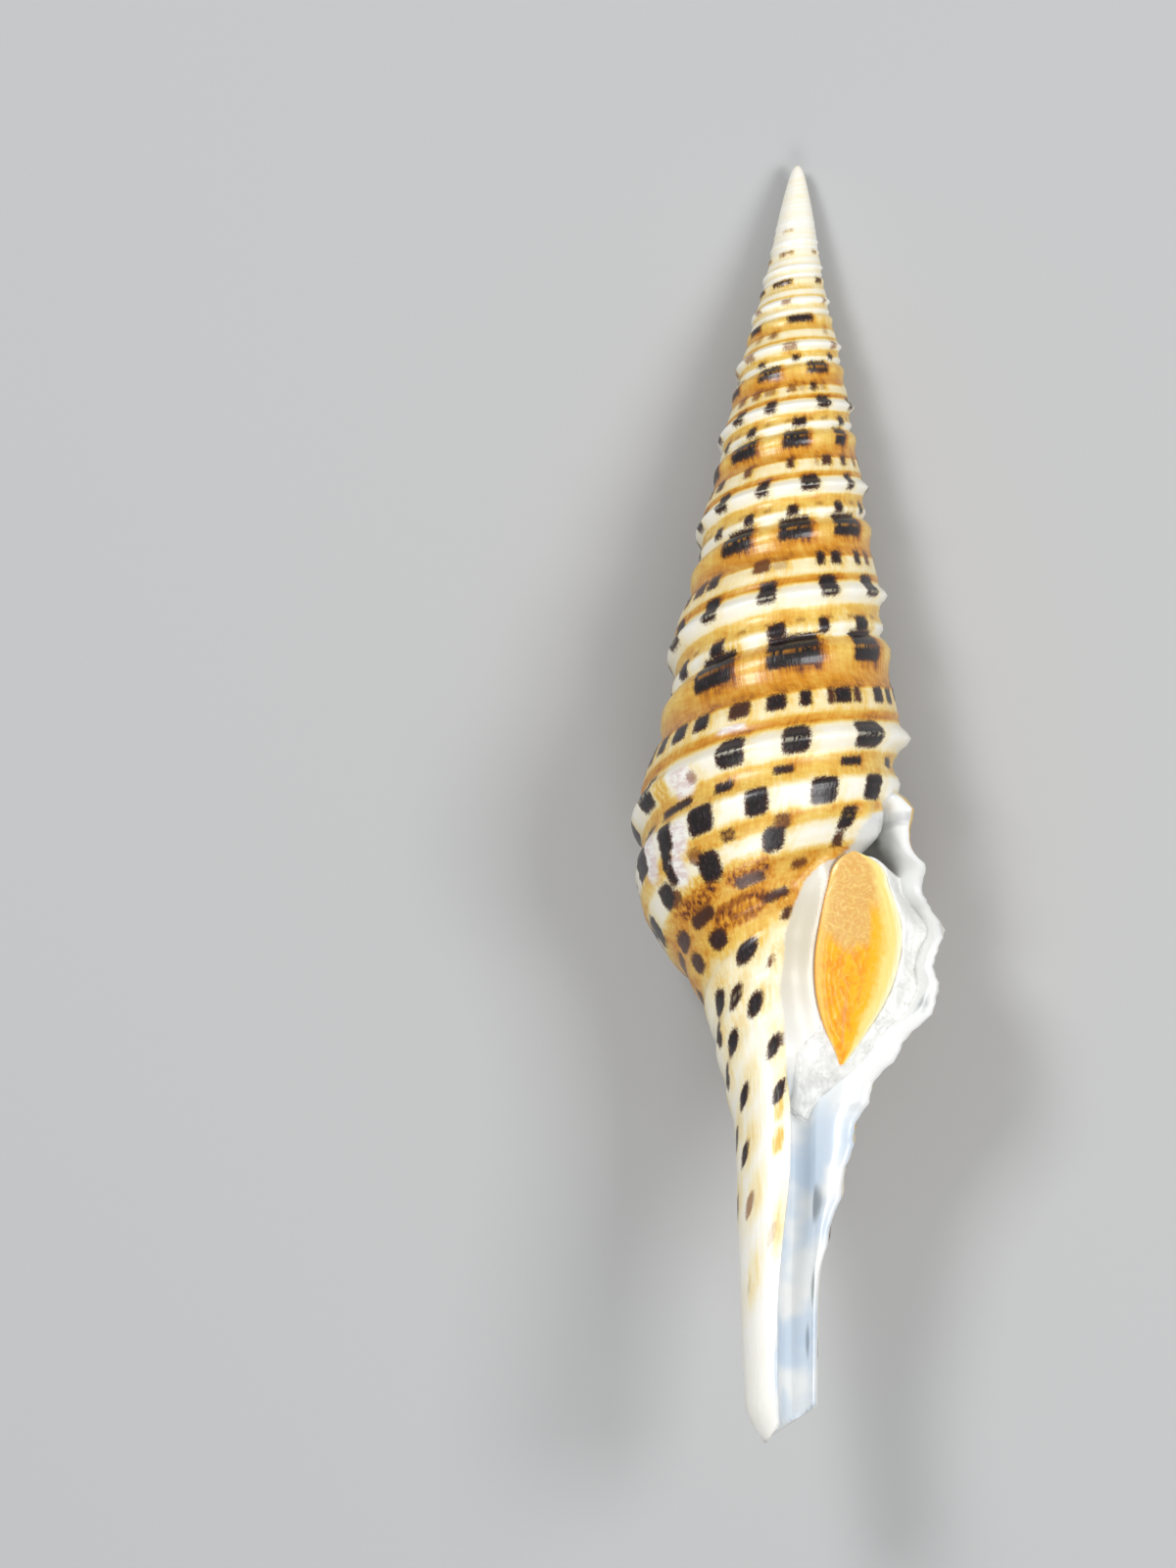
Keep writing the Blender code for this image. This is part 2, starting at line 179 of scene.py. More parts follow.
# Where the lip's edge is, in turns past the lip side, for each band
LIP_TURN = thousandths((
    (-680, 70), (-550, 60), (-380, 40), (-270, 10), (-180, -5), (-80, 20), (0, 35), (320, 42), (800, 45),
    (1800, 45),
))

# How far the lip's edge flares out, for each band
LIP_FLARE = thousandths((
    (-680, 0.1), (-550, 0.5), (-450, 0.9), (-300, 0.6), (-170, 0), (-80, 0.4), (0, 0.5), (300, 0.2),
    (600, 0), (1200, -0.2),
))

# Scallops of the lip's edge where cords end: band, half width in band, and how far they stand out
SCALLOPS = thousandths((
    (-580, 60, 0.2), (-300, 70, 0.3), (0, 60, -0.45), (90, 110, 0.4), (220, 70, 0.1), (360, 90, 0.3),
    (530, 60, 0.22), (690, 70, 0.25), (840, 50, 0.08),
))
SCALLOP_REACH = -0.035

# Sideways bend of the canal towards the lip, and its radius over CANAL_RADIUS
CANAL_BEND = thousandths((
    (62, 0), (66, 0.25), (70, 0.55), (78, 0.9), (88, 1.05), (95, 1.35), (100, 1.6),
))
CANAL_TAPER = thousandths((
    (70, 1000), (80, 970), (88, 870), (96, 800), (97.3, 780), (98.9, 580), (100, 360),
))

# Edge of the white callus: distance down, and the turn up to which it spreads over the painted shell
CALLUS_EDGE = thousandths((
    (49.6, 60), (51, 88), (52.4, 108), (53.4, 124), (54.8, 136), (55.8, 150), (56.8, 176), (57.9, 200),
    (59.9, 222), (61.9, 240), (66, 256), (69.7, 250), (73.5, 220), (79, 214), (85, 240), (90, 262),
    (94, 280), (100, 285),
))

# Where the opening starts: distance down, and the last turn of the closed wall beside it
OPENING_EDGE = thousandths((
    (49.6, 80), (51.2, 98), (52.2, 104), (53.2, 115), (54.3, 135), (56, 172), (58.8, 222), (62, 250),
    (66, 262), (70, 252), (73.5, 222), (79, 216), (85, 238), (90, 258), (96, 268),
))
LEAST_OPENING = 0.22

# Rounded knob of callus beside the notch of the lip: turn, distance down, half width, height
KNOB_TURN = 0.123
KNOB_DOWN = 53.3 * MM
KNOB_HALF = 0.95 * MM
KNOB_HEIGHT = 0.70 * MM

# Callus between the columella and the plate's left edge: where it starts and is full, and ends and is full
CALLUS_BEGINS = (55.0 * MM, 57.5 * MM)
CALLUS_FADES = (74.0 * MM, 69.0 * MM)
CALLUS_BULGE = 0.35 * MM
CALLUS_UNDER = 0.42 * MM

# Colour of the ground along a whorl: 0 white, 0.5 yellow, 1 brown orange
GROUND = thousandths((
    (-680, 180), (-640, 460), (-520, 440), (-450, 560), (-360, 620), (-310, 620), (-290, 220), (-170, 200),
    (-140, 580), (-100, 680), (-75, 100), (0, 20), (75, 80), (110, 480), (220, 360), (250, 20), (320, 20),
))
BASE_GROUND = thousandths((
    (320, 20), (350, 60), (380, 460), (430, 400), (460, 30), (530, 60), (570, 500), (650, 460), (760, 440),
    (840, 200), (920, 60), (1100, 40), (1400, 20), (2600, 0),
))
APEX_COLOUR = 0.15
COLOUR_RANGE = (5.0 * MM, 17.0 * MM)

# Fine pale lines that cross the dark marks: band, half width, strength
CREST_LINES = ((-0.585, 0.014, 0.9), (0.0, 0.012, 0.55))
CREST_LINES_FROM = 12.0 * MM

# Growth lines bend at the beaded cord, where the lip has its notch
SINUS_SWEEP = 0.020
SINUS_BAND = -0.22
SINUS_WIDTH = 0.16
FLOW_TO_BAND = 0.3

# The callus is warm beside the operculum and the canal cool. The lip is white inside below this band.
WARM_TURNS = (0.06, 0.16)
WARM_AT = (62.0 * MM, 12.0 * MM)
COOL_RANGE = (71.0 * MM, 76.0 * MM)
WHITE_LIP_BAND = -0.30

# Dark marks of each cord, whorl by whorl upwards from the last. Each whorl has the middle of its marks in
# band and half their height, and then each mark's turn and half width in turns.
BLOTCHES = thousandths((
    (-590, 115, (112, 29), (237, 39), (356, 31), (605, 30), (715, 31), (855, 56), (980, 30)),
    (-1590, 108, (127, 34), (237, 30), (346, 30), (602, 30), (740, 35), (882, 33)),
    (-2565, 108, (116, 19), (237, 30), (363, 34), (480, 30), (670, 36), (815, 34), (932, 30)),
    (-3580, 100, (170, 36), (319, 33), (460, 30), (630, 36), (780, 32), (900, 40)),
    (-4560, 85, (224, 50), (412, 29), (540, 30), (672, 46), (860, 36)),
    (-5545, 75, (103, 25), (314, 48), (460, 35), (622, 40), (815, 56)),
    (-6530, 45, (108, 18), (310, 44), (470, 35), (622, 48), (862, 50)),
    (-7530, 30, (314, 40), (700, 34), (870, 34)),
))
KEEL_MARKS = thousandths((
    (-5, 80, (131, 24), (233, 17), (312, 17), (446, 16), (525, 19), (603, 19), (683, 19), (773, 20),
     (840, 19), (907, 19), (978, 18)),
    (-1050, 90, (91, 18), (181, 16), (279, 14), (372, 14), (461, 20), (540, 16), (610, 16), (700, 16),
     (795, 16), (885, 16), (980, 16)),
    (-2030, 85, (15, 14), (112, 10), (208, 19), (301, 12), (390, 15), (470, 14), (540, 14), (612, 14),
     (710, 15), (895, 15)),
    (-3030, 85, (50, 16), (165, 20), (301, 14), (390, 17), (490, 16), (590, 16), (690, 16), (800, 16),
     (915, 16)),
    (-3990, 75, (95, 15), (259, 20), (399, 20), (505, 16), (615, 17), (780, 17), (930, 17)),
    (-4990, 60, (95, 12), (283, 18), (420, 18), (640, 18), (835, 18)),
))
WHITE_CORD_MARKS = thousandths((
    (295, 70, (120, 15), (195, 18), (279, 14), (351, 17), (408, 12), (472, 18), (545, 18), (615, 18),
     (685, 18), (772, 18), (853, 18), (933, 18)),
    (-755, 60, (112, 15), (188, 9), (263, 14), (359, 12), (435, 12), (505, 12), (580, 12), (655, 12),
     (742, 12), (818, 12), (892, 12), (965, 12)),
    (-1770, 55, (60, 11), (141, 11), (241, 11), (328, 10), (400, 10), (485, 12), (575, 12), (657, 12),
     (742, 12), (832, 12), (928, 12)),
    (-2780, 60, (100, 12), (228, 18), (350, 12), (440, 12), (540, 12), (648, 12), (762, 12), (868, 12),
     (960, 12)),
    (-3780, 50, (110, 12), (240, 12), (352, 12), (470, 12), (592, 12), (692, 12), (792, 12), (902, 12)),
))

# Narrow marks of the beaded cord above the keel, in the same way, and how dark each is
SINUS_MARKS = thousandths((
    (-255, 52, (62, 10, 900), (95, 12, 1000), (140, 6, 800), (165, 14, 950), (184, 5, 800), (220, 8, 950),
     (259, 13, 900), (307, 14, 800), (360, 11, 900), (396, 12, 950), (431, 10, 900), (462, 10, 900)),
    (-1290, 60, (75, 8, 700), (108, 8, 900), (160, 10, 900), (191, 8, 1000), (262, 11, 350),
     (292, 14, 700), (381, 12, 850), (412, 13, 800), (450, 10, 800)),
    (-2275, 60, (70, 6, 600), (116, 8, 800), (165, 12, 800), (190, 4, 400), (249, 7, 800), (341, 9, 700),
     (417, 12, 800), (455, 10, 700)),
    (-3275, 60, (160, 9, 400), (188, 10, 850), (222, 8, 350), (249, 12, 600), (310, 14, 500),
     (350, 12, 600), (400, 12, 600)),
    (-4275, 60, (120, 8, 400), (320, 14, 600), (380, 10, 400)),
))
SINUS_FIRST_UNSEEN = 0.49
SINUS_LAST_UNSEEN = 1.03

# Other marks of the last whorl: band, turn, half width in turns, half height in band, how dark
LAST_WHORL_MARKS = thousandths((
    (155, 66, 13, 30, 900), (145, 155, 17, 26, 950), (150, 247, 13, 22, 900), (165, 322, 12, 30, 900),
    (55, 364, 6, 26, 500), (165, 392, 26, 26, 850), (180, 450, 13, 20, 900), (180, 520, 15, 20, 900),
    (180, 585, 13, 20, 900), (180, 638, 15, 20, 900), (180, 744, 12, 20, 900), (180, 800, 14, 20, 800),
    (180, 890, 14, 20, 900), (410, 317, 9, 24, 800), (415, 247, 11, 34, 700), (440, 153, 12, 55, 1000),
    (420, 592, 11, 20, 800), (420, 655, 13, 20, 800), (420, 733, 13, 20, 800), (420, 800, 12, 20, 800),
    (420, 873, 14, 20, 800), (480, 258, 15, 52, 1000), (500, 352, 17, 60, 1000), (435, 368, 9, 28, 600),
    (500, 440, 16, 45, 900), (510, 520, 18, 50, 950), (510, 612, 18, 50, 950), (510, 692, 18, 50, 950),
    (510, 772, 18, 50, 950), (510, 852, 18, 50, 950), (510, 936, 18, 50, 950), (535, 155, 9, 30, 800),
    (370, 411, 9, 50, 1000), (440, 414, 8, 50, 900), (530, 426, 12, 26, 700),
))

# Rust streaks of the stained band, in the same order
STREAKS = thousandths((
    (605, 298, 26, 20, 800), (604, 213, 14, 18, 700), (704, 253, 26, 22, 800), (640, 400, 28, 30, 800),
    (750, 384, 22, 36, 850), (660, 335, 30, 12, 500), (640, 470, 22, 34, 800), (740, 462, 20, 34, 800),
    (640, 530, 28, 24, 750), (640, 690, 24, 24, 750), (640, 805, 44, 24, 800), (660, 905, 26, 24, 750),
    (710, 605, 20, 24, 750), (740, 735, 32, 26, 800), (740, 860, 28, 24, 750), (760, 545, 20, 26, 750),
    (740, 965, 26, 24, 750),
))

# Spots of the base and the canal: turn, distance down in mm, half width in turns, how dark
CANAL_SPOTS = thousandths((
    (322, 63.2, 28, 1000), (266, 63.9, 7, 700), (231, 60.3, 8, 800), (369, 66.4, 22, 850),
    (317, 67.1, 25, 1000), (430, 66.6, 24, 950), (412, 69.7, 27, 1000), (462, 68.8, 17, 950),
    (272, 70.2, 24, 1000), (399, 73.8, 26, 1000), (259, 73.7, 24, 900), (404, 78.2, 22, 900),
    (380, 82.2, 20, 550), (284, 84.6, 14, 350), (395, 88.5, 10, 250), (472, 71.9, 18, 1000),
    (470, 76.8, 20, 900), (480, 82, 16, 800), (610, 63.9, 20, 1000), (690, 62.2, 20, 900),
    (770, 60.8, 20, 1000), (850, 61.9, 20, 900), (560, 60.4, 20, 900), (610, 67.4, 20, 1000),
    (685, 67, 20, 1000), (770, 66.4, 20, 900), (850, 66.6, 20, 1000), (900, 70.2, 18, 900),
    (800, 69.8, 30, 800), (735, 70.8, 26, 1000), (610, 71.4, 18, 900), (740, 73.6, 18, 900),
    (855, 73.3, 20, 1000), (570, 74, 18, 1000), (675, 74.6, 18, 900), (760, 76.4, 18, 1000),
    (860, 76.6, 16, 900), (565, 77.9, 18, 1000), (905, 79.7, 16, 1000), (665, 80.4, 18, 1000),
    (790, 83.8, 18, 900), (630, 84.7, 18, 1000), (920, 87, 16, 900), (820, 90, 14, 700),
    (715, 91.8, 12, 500), (790, 95, 12, 500), (990, 74.6, 20, 1000), (975, 80.2, 18, 900),
    (10, 83.6, 18, 900), (985, 88.8, 16, 900), (10, 92.4, 16, 800),
))
SPOT_HALF_HEIGHT = 0.76 * MM
SMALL_SPOT = 0.014

# Reach of a mark's golden fringe over its distance down, what is painted up to beyond a mark's edge, and the
# value far from all marks
HALO_REACH = 0.017
MARGIN_TURNS = 0.06
MARGIN_BAND = 0.2
NO_MARK = -3.0

# Pale patches of the healed growth scar: band, turn, half width in turns, half height in band
PATCHES = thousandths((
    (60, 377, 16, 70), (330, 388, 15, 80), (450, 400, 14, 60), (310, 445, 15, 115), (-150, 315, 18, 20),
))

# Golden stains, in the same order, and how golden they are
STAINS = thousandths((
    (20, 415, 14, 80), (560, 300, 40, 50), (560, 400, 50, 60), (700, 330, 60, 60), (1530, 258, 20, 40),
    (1640, 264, 22, 40),
))
STAIN_DEPTH = 0.55

# Grey spots of the outside that show through on the inside of the lip: turn, distance down in mm, half
# width in turns, half height in mm, how dark
GHOSTS = thousandths((
    (72, 81.5, 12, 1.5, 750), (66, 88.1, 10, 1.4, 700), (97, 92, 14, 1.3, 600), (54, 66.4, 6, 0.6, 600),
    (52, 74.2, 3, 0.5, 400), (63, 52.3, 6, 0.5, 400),
))

# Operculum
OPERCULUM_TOP = 55.5 * MM
OPERCULUM_TIP = 71.3 * MM
OPERCULUM_FRONT_TOP = 5.85 * MM
OPERCULUM_FRONT_TIP = 2.4 * MM
OPERCULUM_THICKNESS = 0.45 * MM
OPERCULUM_DISH = 0.25 * MM
OPERCULUM_ROUNDING = 0.03
OPERCULUM_ROWS = 200
OPERCULUM_COLUMNS = 72

# Its low growth ridges, round a point of its lower half
RIDGES = 9
RIDGE_HEIGHT = 0.016 * MM
RIDGES_SIDE = 5.9 * MM
RIDGES_DOWN = 64.5 * MM
RIDGES_WIDE = 3.2 * MM
RIDGES_HIGH = 8.0 * MM

# Left and right edges of the operculum: distance down, and side
OPERCULUM_LEFT = thousandths((
    (55.5, 5.3), (56.2, 4.5), (58.4, 3.7), (60.5, 3.3), (64, 2.95), (66.7, 3.25), (68.6, 3.85), (70.3, 4.7),
    (71.3, 5.05),
))
OPERCULUM_RIGHT = thousandths((
    (55.5, 6), (56.3, 7.4), (58.2, 8.4), (61.2, 9.4), (63.5, 9.3), (66.3, 8.45), (69.3, 6.7), (71.3, 5.3),
))

# Cotton wool
COTTON_TOP = 55.9 * MM
COTTON_END = 74.8 * MM
COTTON_END_ROUNDING = 1.6 * MM
COTTON_END_SLOPE = 4.0 * MM
COTTON_END_FALL = 3.2 * MM
COTTON_SHORT_OF_LIP = 1.1 * MM
COTTON_INSIDE_LIP = 0.012
COTTON_BELOW_WALL = 0.15 * MM
COTTON_UNDER_PLATE = 0.2 * MM
COTTON_CLEAR_OF_PLATE = 0.1 * MM
PLATE_MARGIN = (-0.15 * MM, 0.35 * MM)
PLATE_TIP_MARGIN = 0.3 * MM
COTTON_LEFT = 1.2 * MM
COTTON_LEFT_FRONT = 3.45 * MM
COTTON_LEFT_DIP = 0.9 * MM
COTTON_SPREAD = (65.5 * MM, 71.0 * MM)
COTTON_ABOVE_PLATE = 0.14 * MM
COTTON_THICKNESS = 2.2 * MM
COTTON_THINNER = 0.8
COTTON_THINS_FROM = 69.0 * MM
WOOL_WAVES = 14
WOOL_LUMPS = ((2.2 * MM, 0.06 * MM), (0.7 * MM, 0.03 * MM))
COTTON_ROWS = 120
COTTON_ACROSS = 60
FIBRES = 1600
FIBRE_POINTS = 9
FIBRE_RADIUS = 0.011 * MM

# Painted glow of the cotton wool and its fibres, an emission that stands in for the light real cotton wool
# scatters on from fibre to fibre
SCATTERED_LIGHT = 0.09

# Camera: the photograph's right-hand view
PIXELS_PER_METRE = 13450.0
APEX_PIXEL = (814, 168)
VIEW_LEAN = math.radians(1.8)
VIEW_TILT = math.radians(15.7)
CAMERA_LENS = 500.0
SENSOR = 36.0

# Floor, and soft lights: name, place, size, power
FLOOR_SIZE = 3.0
WORLD_LIGHT = 0.32
LAMPS = (
    ("key", (-0.22, 0.18, 0.42), 0.14, 1.10),
    ("fill", (0.28, 0.02, 0.36), 0.18, 0.95),
    ("front", (0.03, -0.36, 0.36), 0.18, 0.50),
)


def cubic(t, start, end, slope, end_slope):
    """A cubic curve's points from start to end, for t from 0 to 1."""
    first = (1 + 2 * t) * (1 - t) ** 2 * start + t * (1 - t) ** 2 * slope
    return first + t * t * (3 - 2 * t) * end + t * t * (t - 1) * end_slope


def smooth(points, x):
    """A cubic curve through a few (x, y) points, level beyond both ends."""
    px, py = np.array(points).T
    slope = np.gradient(py, px)
    x = np.clip(x, px[0], px[-1])
    i = np.clip(np.searchsorted(px, x) - 1, 0, len(px) - 2)
    step = px[i + 1] - px[i]
    return cubic((x - px[i]) / step, py[i], py[i + 1], step * slope[i], step * slope[i + 1])


def linear(points, x):
    px, py = np.array(points).T
    return np.interp(x, px, py)


def blend(a, b, share):
    """From a to b as share goes from 0 to 1."""
    return a + (b - a) * share


def ramp(low, high, x):
    """0 up to low, 1 from high on, and smooth between them. It runs downwards where low is above high."""
    t = np.clip((x - low) / (high - low), 0, 1)
    return t * t * (3 - 2 * t)


def bump(x, centre, half_width):
    """1 at the centre, 0 beyond half_width, rounded between."""
    away = np.clip((x - centre) / half_width, -1, 1)
    return np.cos(away * math.pi / 2) ** 2


def down_at(spiral):
    tip = math.log(PLAIN_TIP / KEEL_START) / math.log(GROWTH)
    grown = KEEL_START * GROWTH ** np.maximum(spiral, tip)
    return grown + (np.minimum(spiral, tip) - tip) * PLAIN_TIP * math.log(GROWTH)


def spiral_at(down):
    return np.log(np.maximum(down, 0.1 * MM) / KEEL_START) / math.log(GROWTH)


def keel_radius(down):
    down = np.maximum(down, 0)
    blunt = TIP_BLUNTNESS * (1 - np.exp(-down / TIP_BLUNTNESS)) * np.exp(-down / TIP_BLUNT_TO)
    slim = SLIM_TIP * bump(down, *SLIM_TIP_AT)
    return LIP_RADIUS * (down / LIP_DOWN) ** RADIUS_POWER + blunt - slim


def canal_radius(down):
    return CANAL_RADIUS * smooth(CANAL_TAPER, down) * ramp(*CANAL_RANGE, down)


def in_whorl(band):
    """The band within its own whorl, from the suture to just short of the next one."""
    return (band - SUTURE) % 1 + SUTURE


def bumps(table, x):
    """The sum of a table's bumps: where each is, its half width and its height."""
    return sum(height * bump(x, at, half) for at, half, height in table)


def cord_relief(band):
    return sum(CORD_HEIGHT * bump(band, cord, CORD_HALF_WIDTH) for cord in BASE_CORDS)


def thread_relief(band):
    """Fine threads, as a share of the keel's radius."""
    spire = sum(height * bump(in_whorl(band), at, THREAD_HALF_WIDTH) for at, height in THREADS)
    base = sum(height * bump(band, at, THREAD_HALF_WIDTH) for at, height in BASE_THREADS)
    return np.where(band < 1 + SUTURE - THREAD_HALF_WIDTH, spire, base)


def ratio(band, pull):
    """Radius over the keel's radius. pull draws the base in."""
    spire = smooth(WHORL + ((1 + SUTURE, WHORL[0][1]),), in_whorl(band))
    pulled = band + pull * ramp(*LIP_PULL_BANDS, band)
    base = smooth(WHORL[-3:] + BASE, pulled) + cord_relief(band)
    return np.where(band < WHORL[-1][0], spire, base)


def unevenness(turn, down, band):
    """How this shell's whorls depart from an even spiral, as a share of the keel's radius."""
    away = (0.5 - 0.5 * np.cos(math.tau * turn)) ** 2 * ramp(*LEFT_SWELL_RANGE, down)
    left = LEFT_SWELL * away * bump(in_whorl(band), *LEFT_SWELL_AT) * (band < BASE[0][0])
    near_lip = bump(turn - np.round(turn), 0.0, ABOVE_LIP_TURNS)
    return left - ABOVE_LIP_DIP * near_lip * bump(band + turn, *ABOVE_LIP_AT)


def radius_at(turn, down, band, fine=True):
    """Radius of the outside of the shell, with its fine threads unless they are left out."""
    relief = ramp(*RELIEF_RANGE, down)
    pull = LIP_PULL * ramp(LIP_PULL_FROM, 1.0, turn)
    share = ratio(band, pull) + unevenness(turn, down, band)
    body = keel_radius(down) * (blend(MEAN_RATIO, share, relief))
    last = ramp(LAST_WHORL_FROM, 1.0, turn) * (band > SUTURE)
    body = body * (1 - last * SHOULDER_DIP * np.exp(-((band - SHOULDER_BAND) / SHOULDER_WIDTH) ** 2))
    from_edge = turn - 1 - smooth(LIP_TURN, band)
    flare = smooth(LIP_FLARE, band) * ramp(FLARE_FROM, 0.0, from_edge)
    if fine:
        body = body + keel_radius(down) * thread_relief(band) * relief
        flare = flare + bumps(SCALLOPS, band) * ramp(SCALLOP_REACH, 0.0, from_edge)
    body = body + flare * (band > SUTURE)
    return (body ** 3 + canal_radius(down) ** 3) ** (1 / 3)


def polar(turn, radius, down):
    side = radius * np.cos(math.tau * turn) + smooth(CANAL_BEND, down)
    front = radius * np.sin(math.tau * turn)
    return side, front


def columella_radius(turn, down):
    band = np.maximum(spiral_at(down) - turn, PILLAR_BAND)
    inner = PILLAR_RADIUS - PILLAR_LOSS * ramp(*PILLAR_RANGE, down)
    return np.sqrt((keel_radius(down) * ratio(band, 0.0)) ** 2 + inner ** 2)


def mouth_knot(knot, lip, edge, down):
    """One of the points round the inside of the opening, from the lip's edge to the columella's edge."""
    turn = lip + HOLLOW_TURNS[knot]
    if knot in PILLAR_KNOTS:
        turn = np.minimum(turn, edge - SHORT_OF_EDGE * (len(HOLLOW_TURNS) - knot))
    outer = radius_at(1 + turn, down, spiral_at(down) - 1 - turn, fine=knot < 2)
    pillar = np.minimum(columella_radius(turn, down), outer - LIP_WALL - MIN_HOLLOW)
    radii = (
        outer,
        outer - LIP_EDGE - 0.6 * LIP_SLANT,
        outer - 1.25 * LIP_WALL - LIP_SLANT,
        outer - LIP_WALL - 0.5 * LIP_SLANT,
        0.55 * outer + 0.45 * pillar - 0.5 * LIP_WALL,
        pillar,
        pillar,
        pillar,
    )
    return np.array(polar(turn, radii[knot], down))


def canal_knot(knot, down):
    """The same in the canal, which is a smooth trough."""
    side, front = CANAL_TROUGH[knot - 1]
    radius = canal_radius(down)
    return np.array([side * radius + smooth(CANAL_BEND, down), front * radius])


def tip_down(turn):
    shorter = 0.5 - 0.5 * np.cos(math.tau * (turn - TIP_LONGEST_TURN))
    return LENGTH - TIP_SLOPE * shorter


def place(side, down, front):
    """Points of the shell's own frame in the row frame, where the shell leans and rests on its back."""
    local = np.stack([side, LENGTH / 2 - down, front], axis=-1)
    lean = np.array(Matrix.Rotation(-REST_TILT, 3, "X"))
    return local @ lean.T + np.array(REST_SHIFT)


# Shell mesh


def spread(fixed, gap):
    """The given bands, and others between them no more than gap apart. The last one is left out."""
    bands = []
    for low, high in zip(fixed, fixed[1:]):
        count = max(1, math.ceil((high - low) / gap - 0.01))
        bands += [low + (high - low) * i / count for i in range(count)]
    return bands


def shell_rows():
    """Band of every row at the columella's side, and at the lip's side, which is one whorl above."""
    whorl = spread([SUTURE] + [at for at, _ in THREADS] + [1 + SUTURE], ROW_GAP)
    base = spread([at for at, _ in BASE_THREADS] + [BASE[-1][0]], BASE_ROW_GAP)
    rows = [band - back for back in range(WHORLS_ABOVE, 0, -1) for band in whorl] + whorl + base
    past_tip = float(spiral_at(LENGTH)) - LIP_TURN[-1][1] - 1
    band = BASE[-1][0]
    while rows[-len(whorl)] < past_tip:
        rows.append(band)
        band += CANAL_ROW_GAP
    rows = np.array(rows)
    start = np.concatenate([rows[:len(whorl)], rows[:-len(whorl)] + 1])
    return rows, start, len(whorl)


def strip_shares():
    """Where the columns across the opening are, from 0 at the lip's edge to 1 at the columella."""
    shares = []
    for knot, steps in enumerate(KNOT_STEPS):
        shares += [(knot + step / steps) / len(KNOT_STEPS) for step in range(steps)]
    return np.array(shares)


def on_callus(down, rim, share):
    """A point of the callus, which reaches from the rim under the left edge of the operculum."""
    plate_down = np.clip(down, OPERCULUM_TOP, OPERCULUM_TIP)
    side = blend(rim[0], smooth(OPERCULUM_LEFT, plate_down), share)
    sunk = min(share, 1.0)
    front = blend(rim[1], plate_level(plate_down) - CALLUS_UNDER, sunk)
    return np.array([side, front + CALLUS_BULGE * math.sin(math.pi * sunk)])


def hollow_points(share, lip, edge, down):
    """Points round the inside of the opening, by a curve through its knots."""
    knots = [mouth_knot(knot, lip, edge, down) for knot in range(len(HOLLOW_TURNS))]
    canal = ramp(*TROUGH_RANGE, down)
    for knot in range(1, len(knots)):
        knots[knot] = blend(knots[knot], canal_knot(knot, down), canal)
    rim = np.array(polar(edge, radius_at(edge, down, spiral_at(down) - edge, fine=False), down))
    raised = ramp(*CALLUS_BEGINS, down) * ramp(*CALLUS_FADES, down)
    for knot, along in CALLUS_KNOTS:
        knots[knot] = blend(knots[knot], on_callus(down, rim, along), raised)
    knots = np.array(knots + [rim])
    at = np.array(KNOT_AT)
    slope = np.gradient(knots, at, axis=0)
    x = np.interp(share, np.arange(len(at)) / (len(at) - 1), at)
    i = np.clip(np.searchsorted(at, x, side="right") - 1, 0, len(at) - 2)
    step = at[i + 1] - at[i]
    here = np.arange(knots.shape[2])
    p0, p1 = knots[i, :, here].T, knots[i + 1, :, here].T
    m0, m1 = slope[i, :, here].T * step, slope[i + 1, :, here].T * step
    limit = np.linalg.norm(p1 - p0, axis=0) * STEEPEST
    for m in (m0, m1):
        m *= np.minimum(1, limit / np.maximum(np.linalg.norm(m, axis=0), TINY))
    return cubic((x - at[i]) / step, p0, p1, m0, m1)


def rounded_edge(share, lip, points):
    """Push the first stretch, which is the lip's edge, outwards so that it is rounded."""
    t = np.clip(share * len(KNOT_STEPS), 0, 1)
    turn = math.tau * lip
    return points + np.array([-np.sin(turn), np.cos(turn)]) * np.sin(math.pi * t) * EDGE_SWELL


def with_knob(turn, down, side, front):
    """The knob of callus, raised outwards from the axis."""
    radius = np.hypot(side, front)
    x = (turn - KNOB_TURN) * math.tau * radius / KNOB_HALF
    y = (down - KNOB_DOWN) / (KNOB_HALF * 1.25)
    raised = KNOB_HEIGHT * np.exp(-(x * x + y * y))
    return side * (1 + raised / radius), front * (1 + raised / radius)


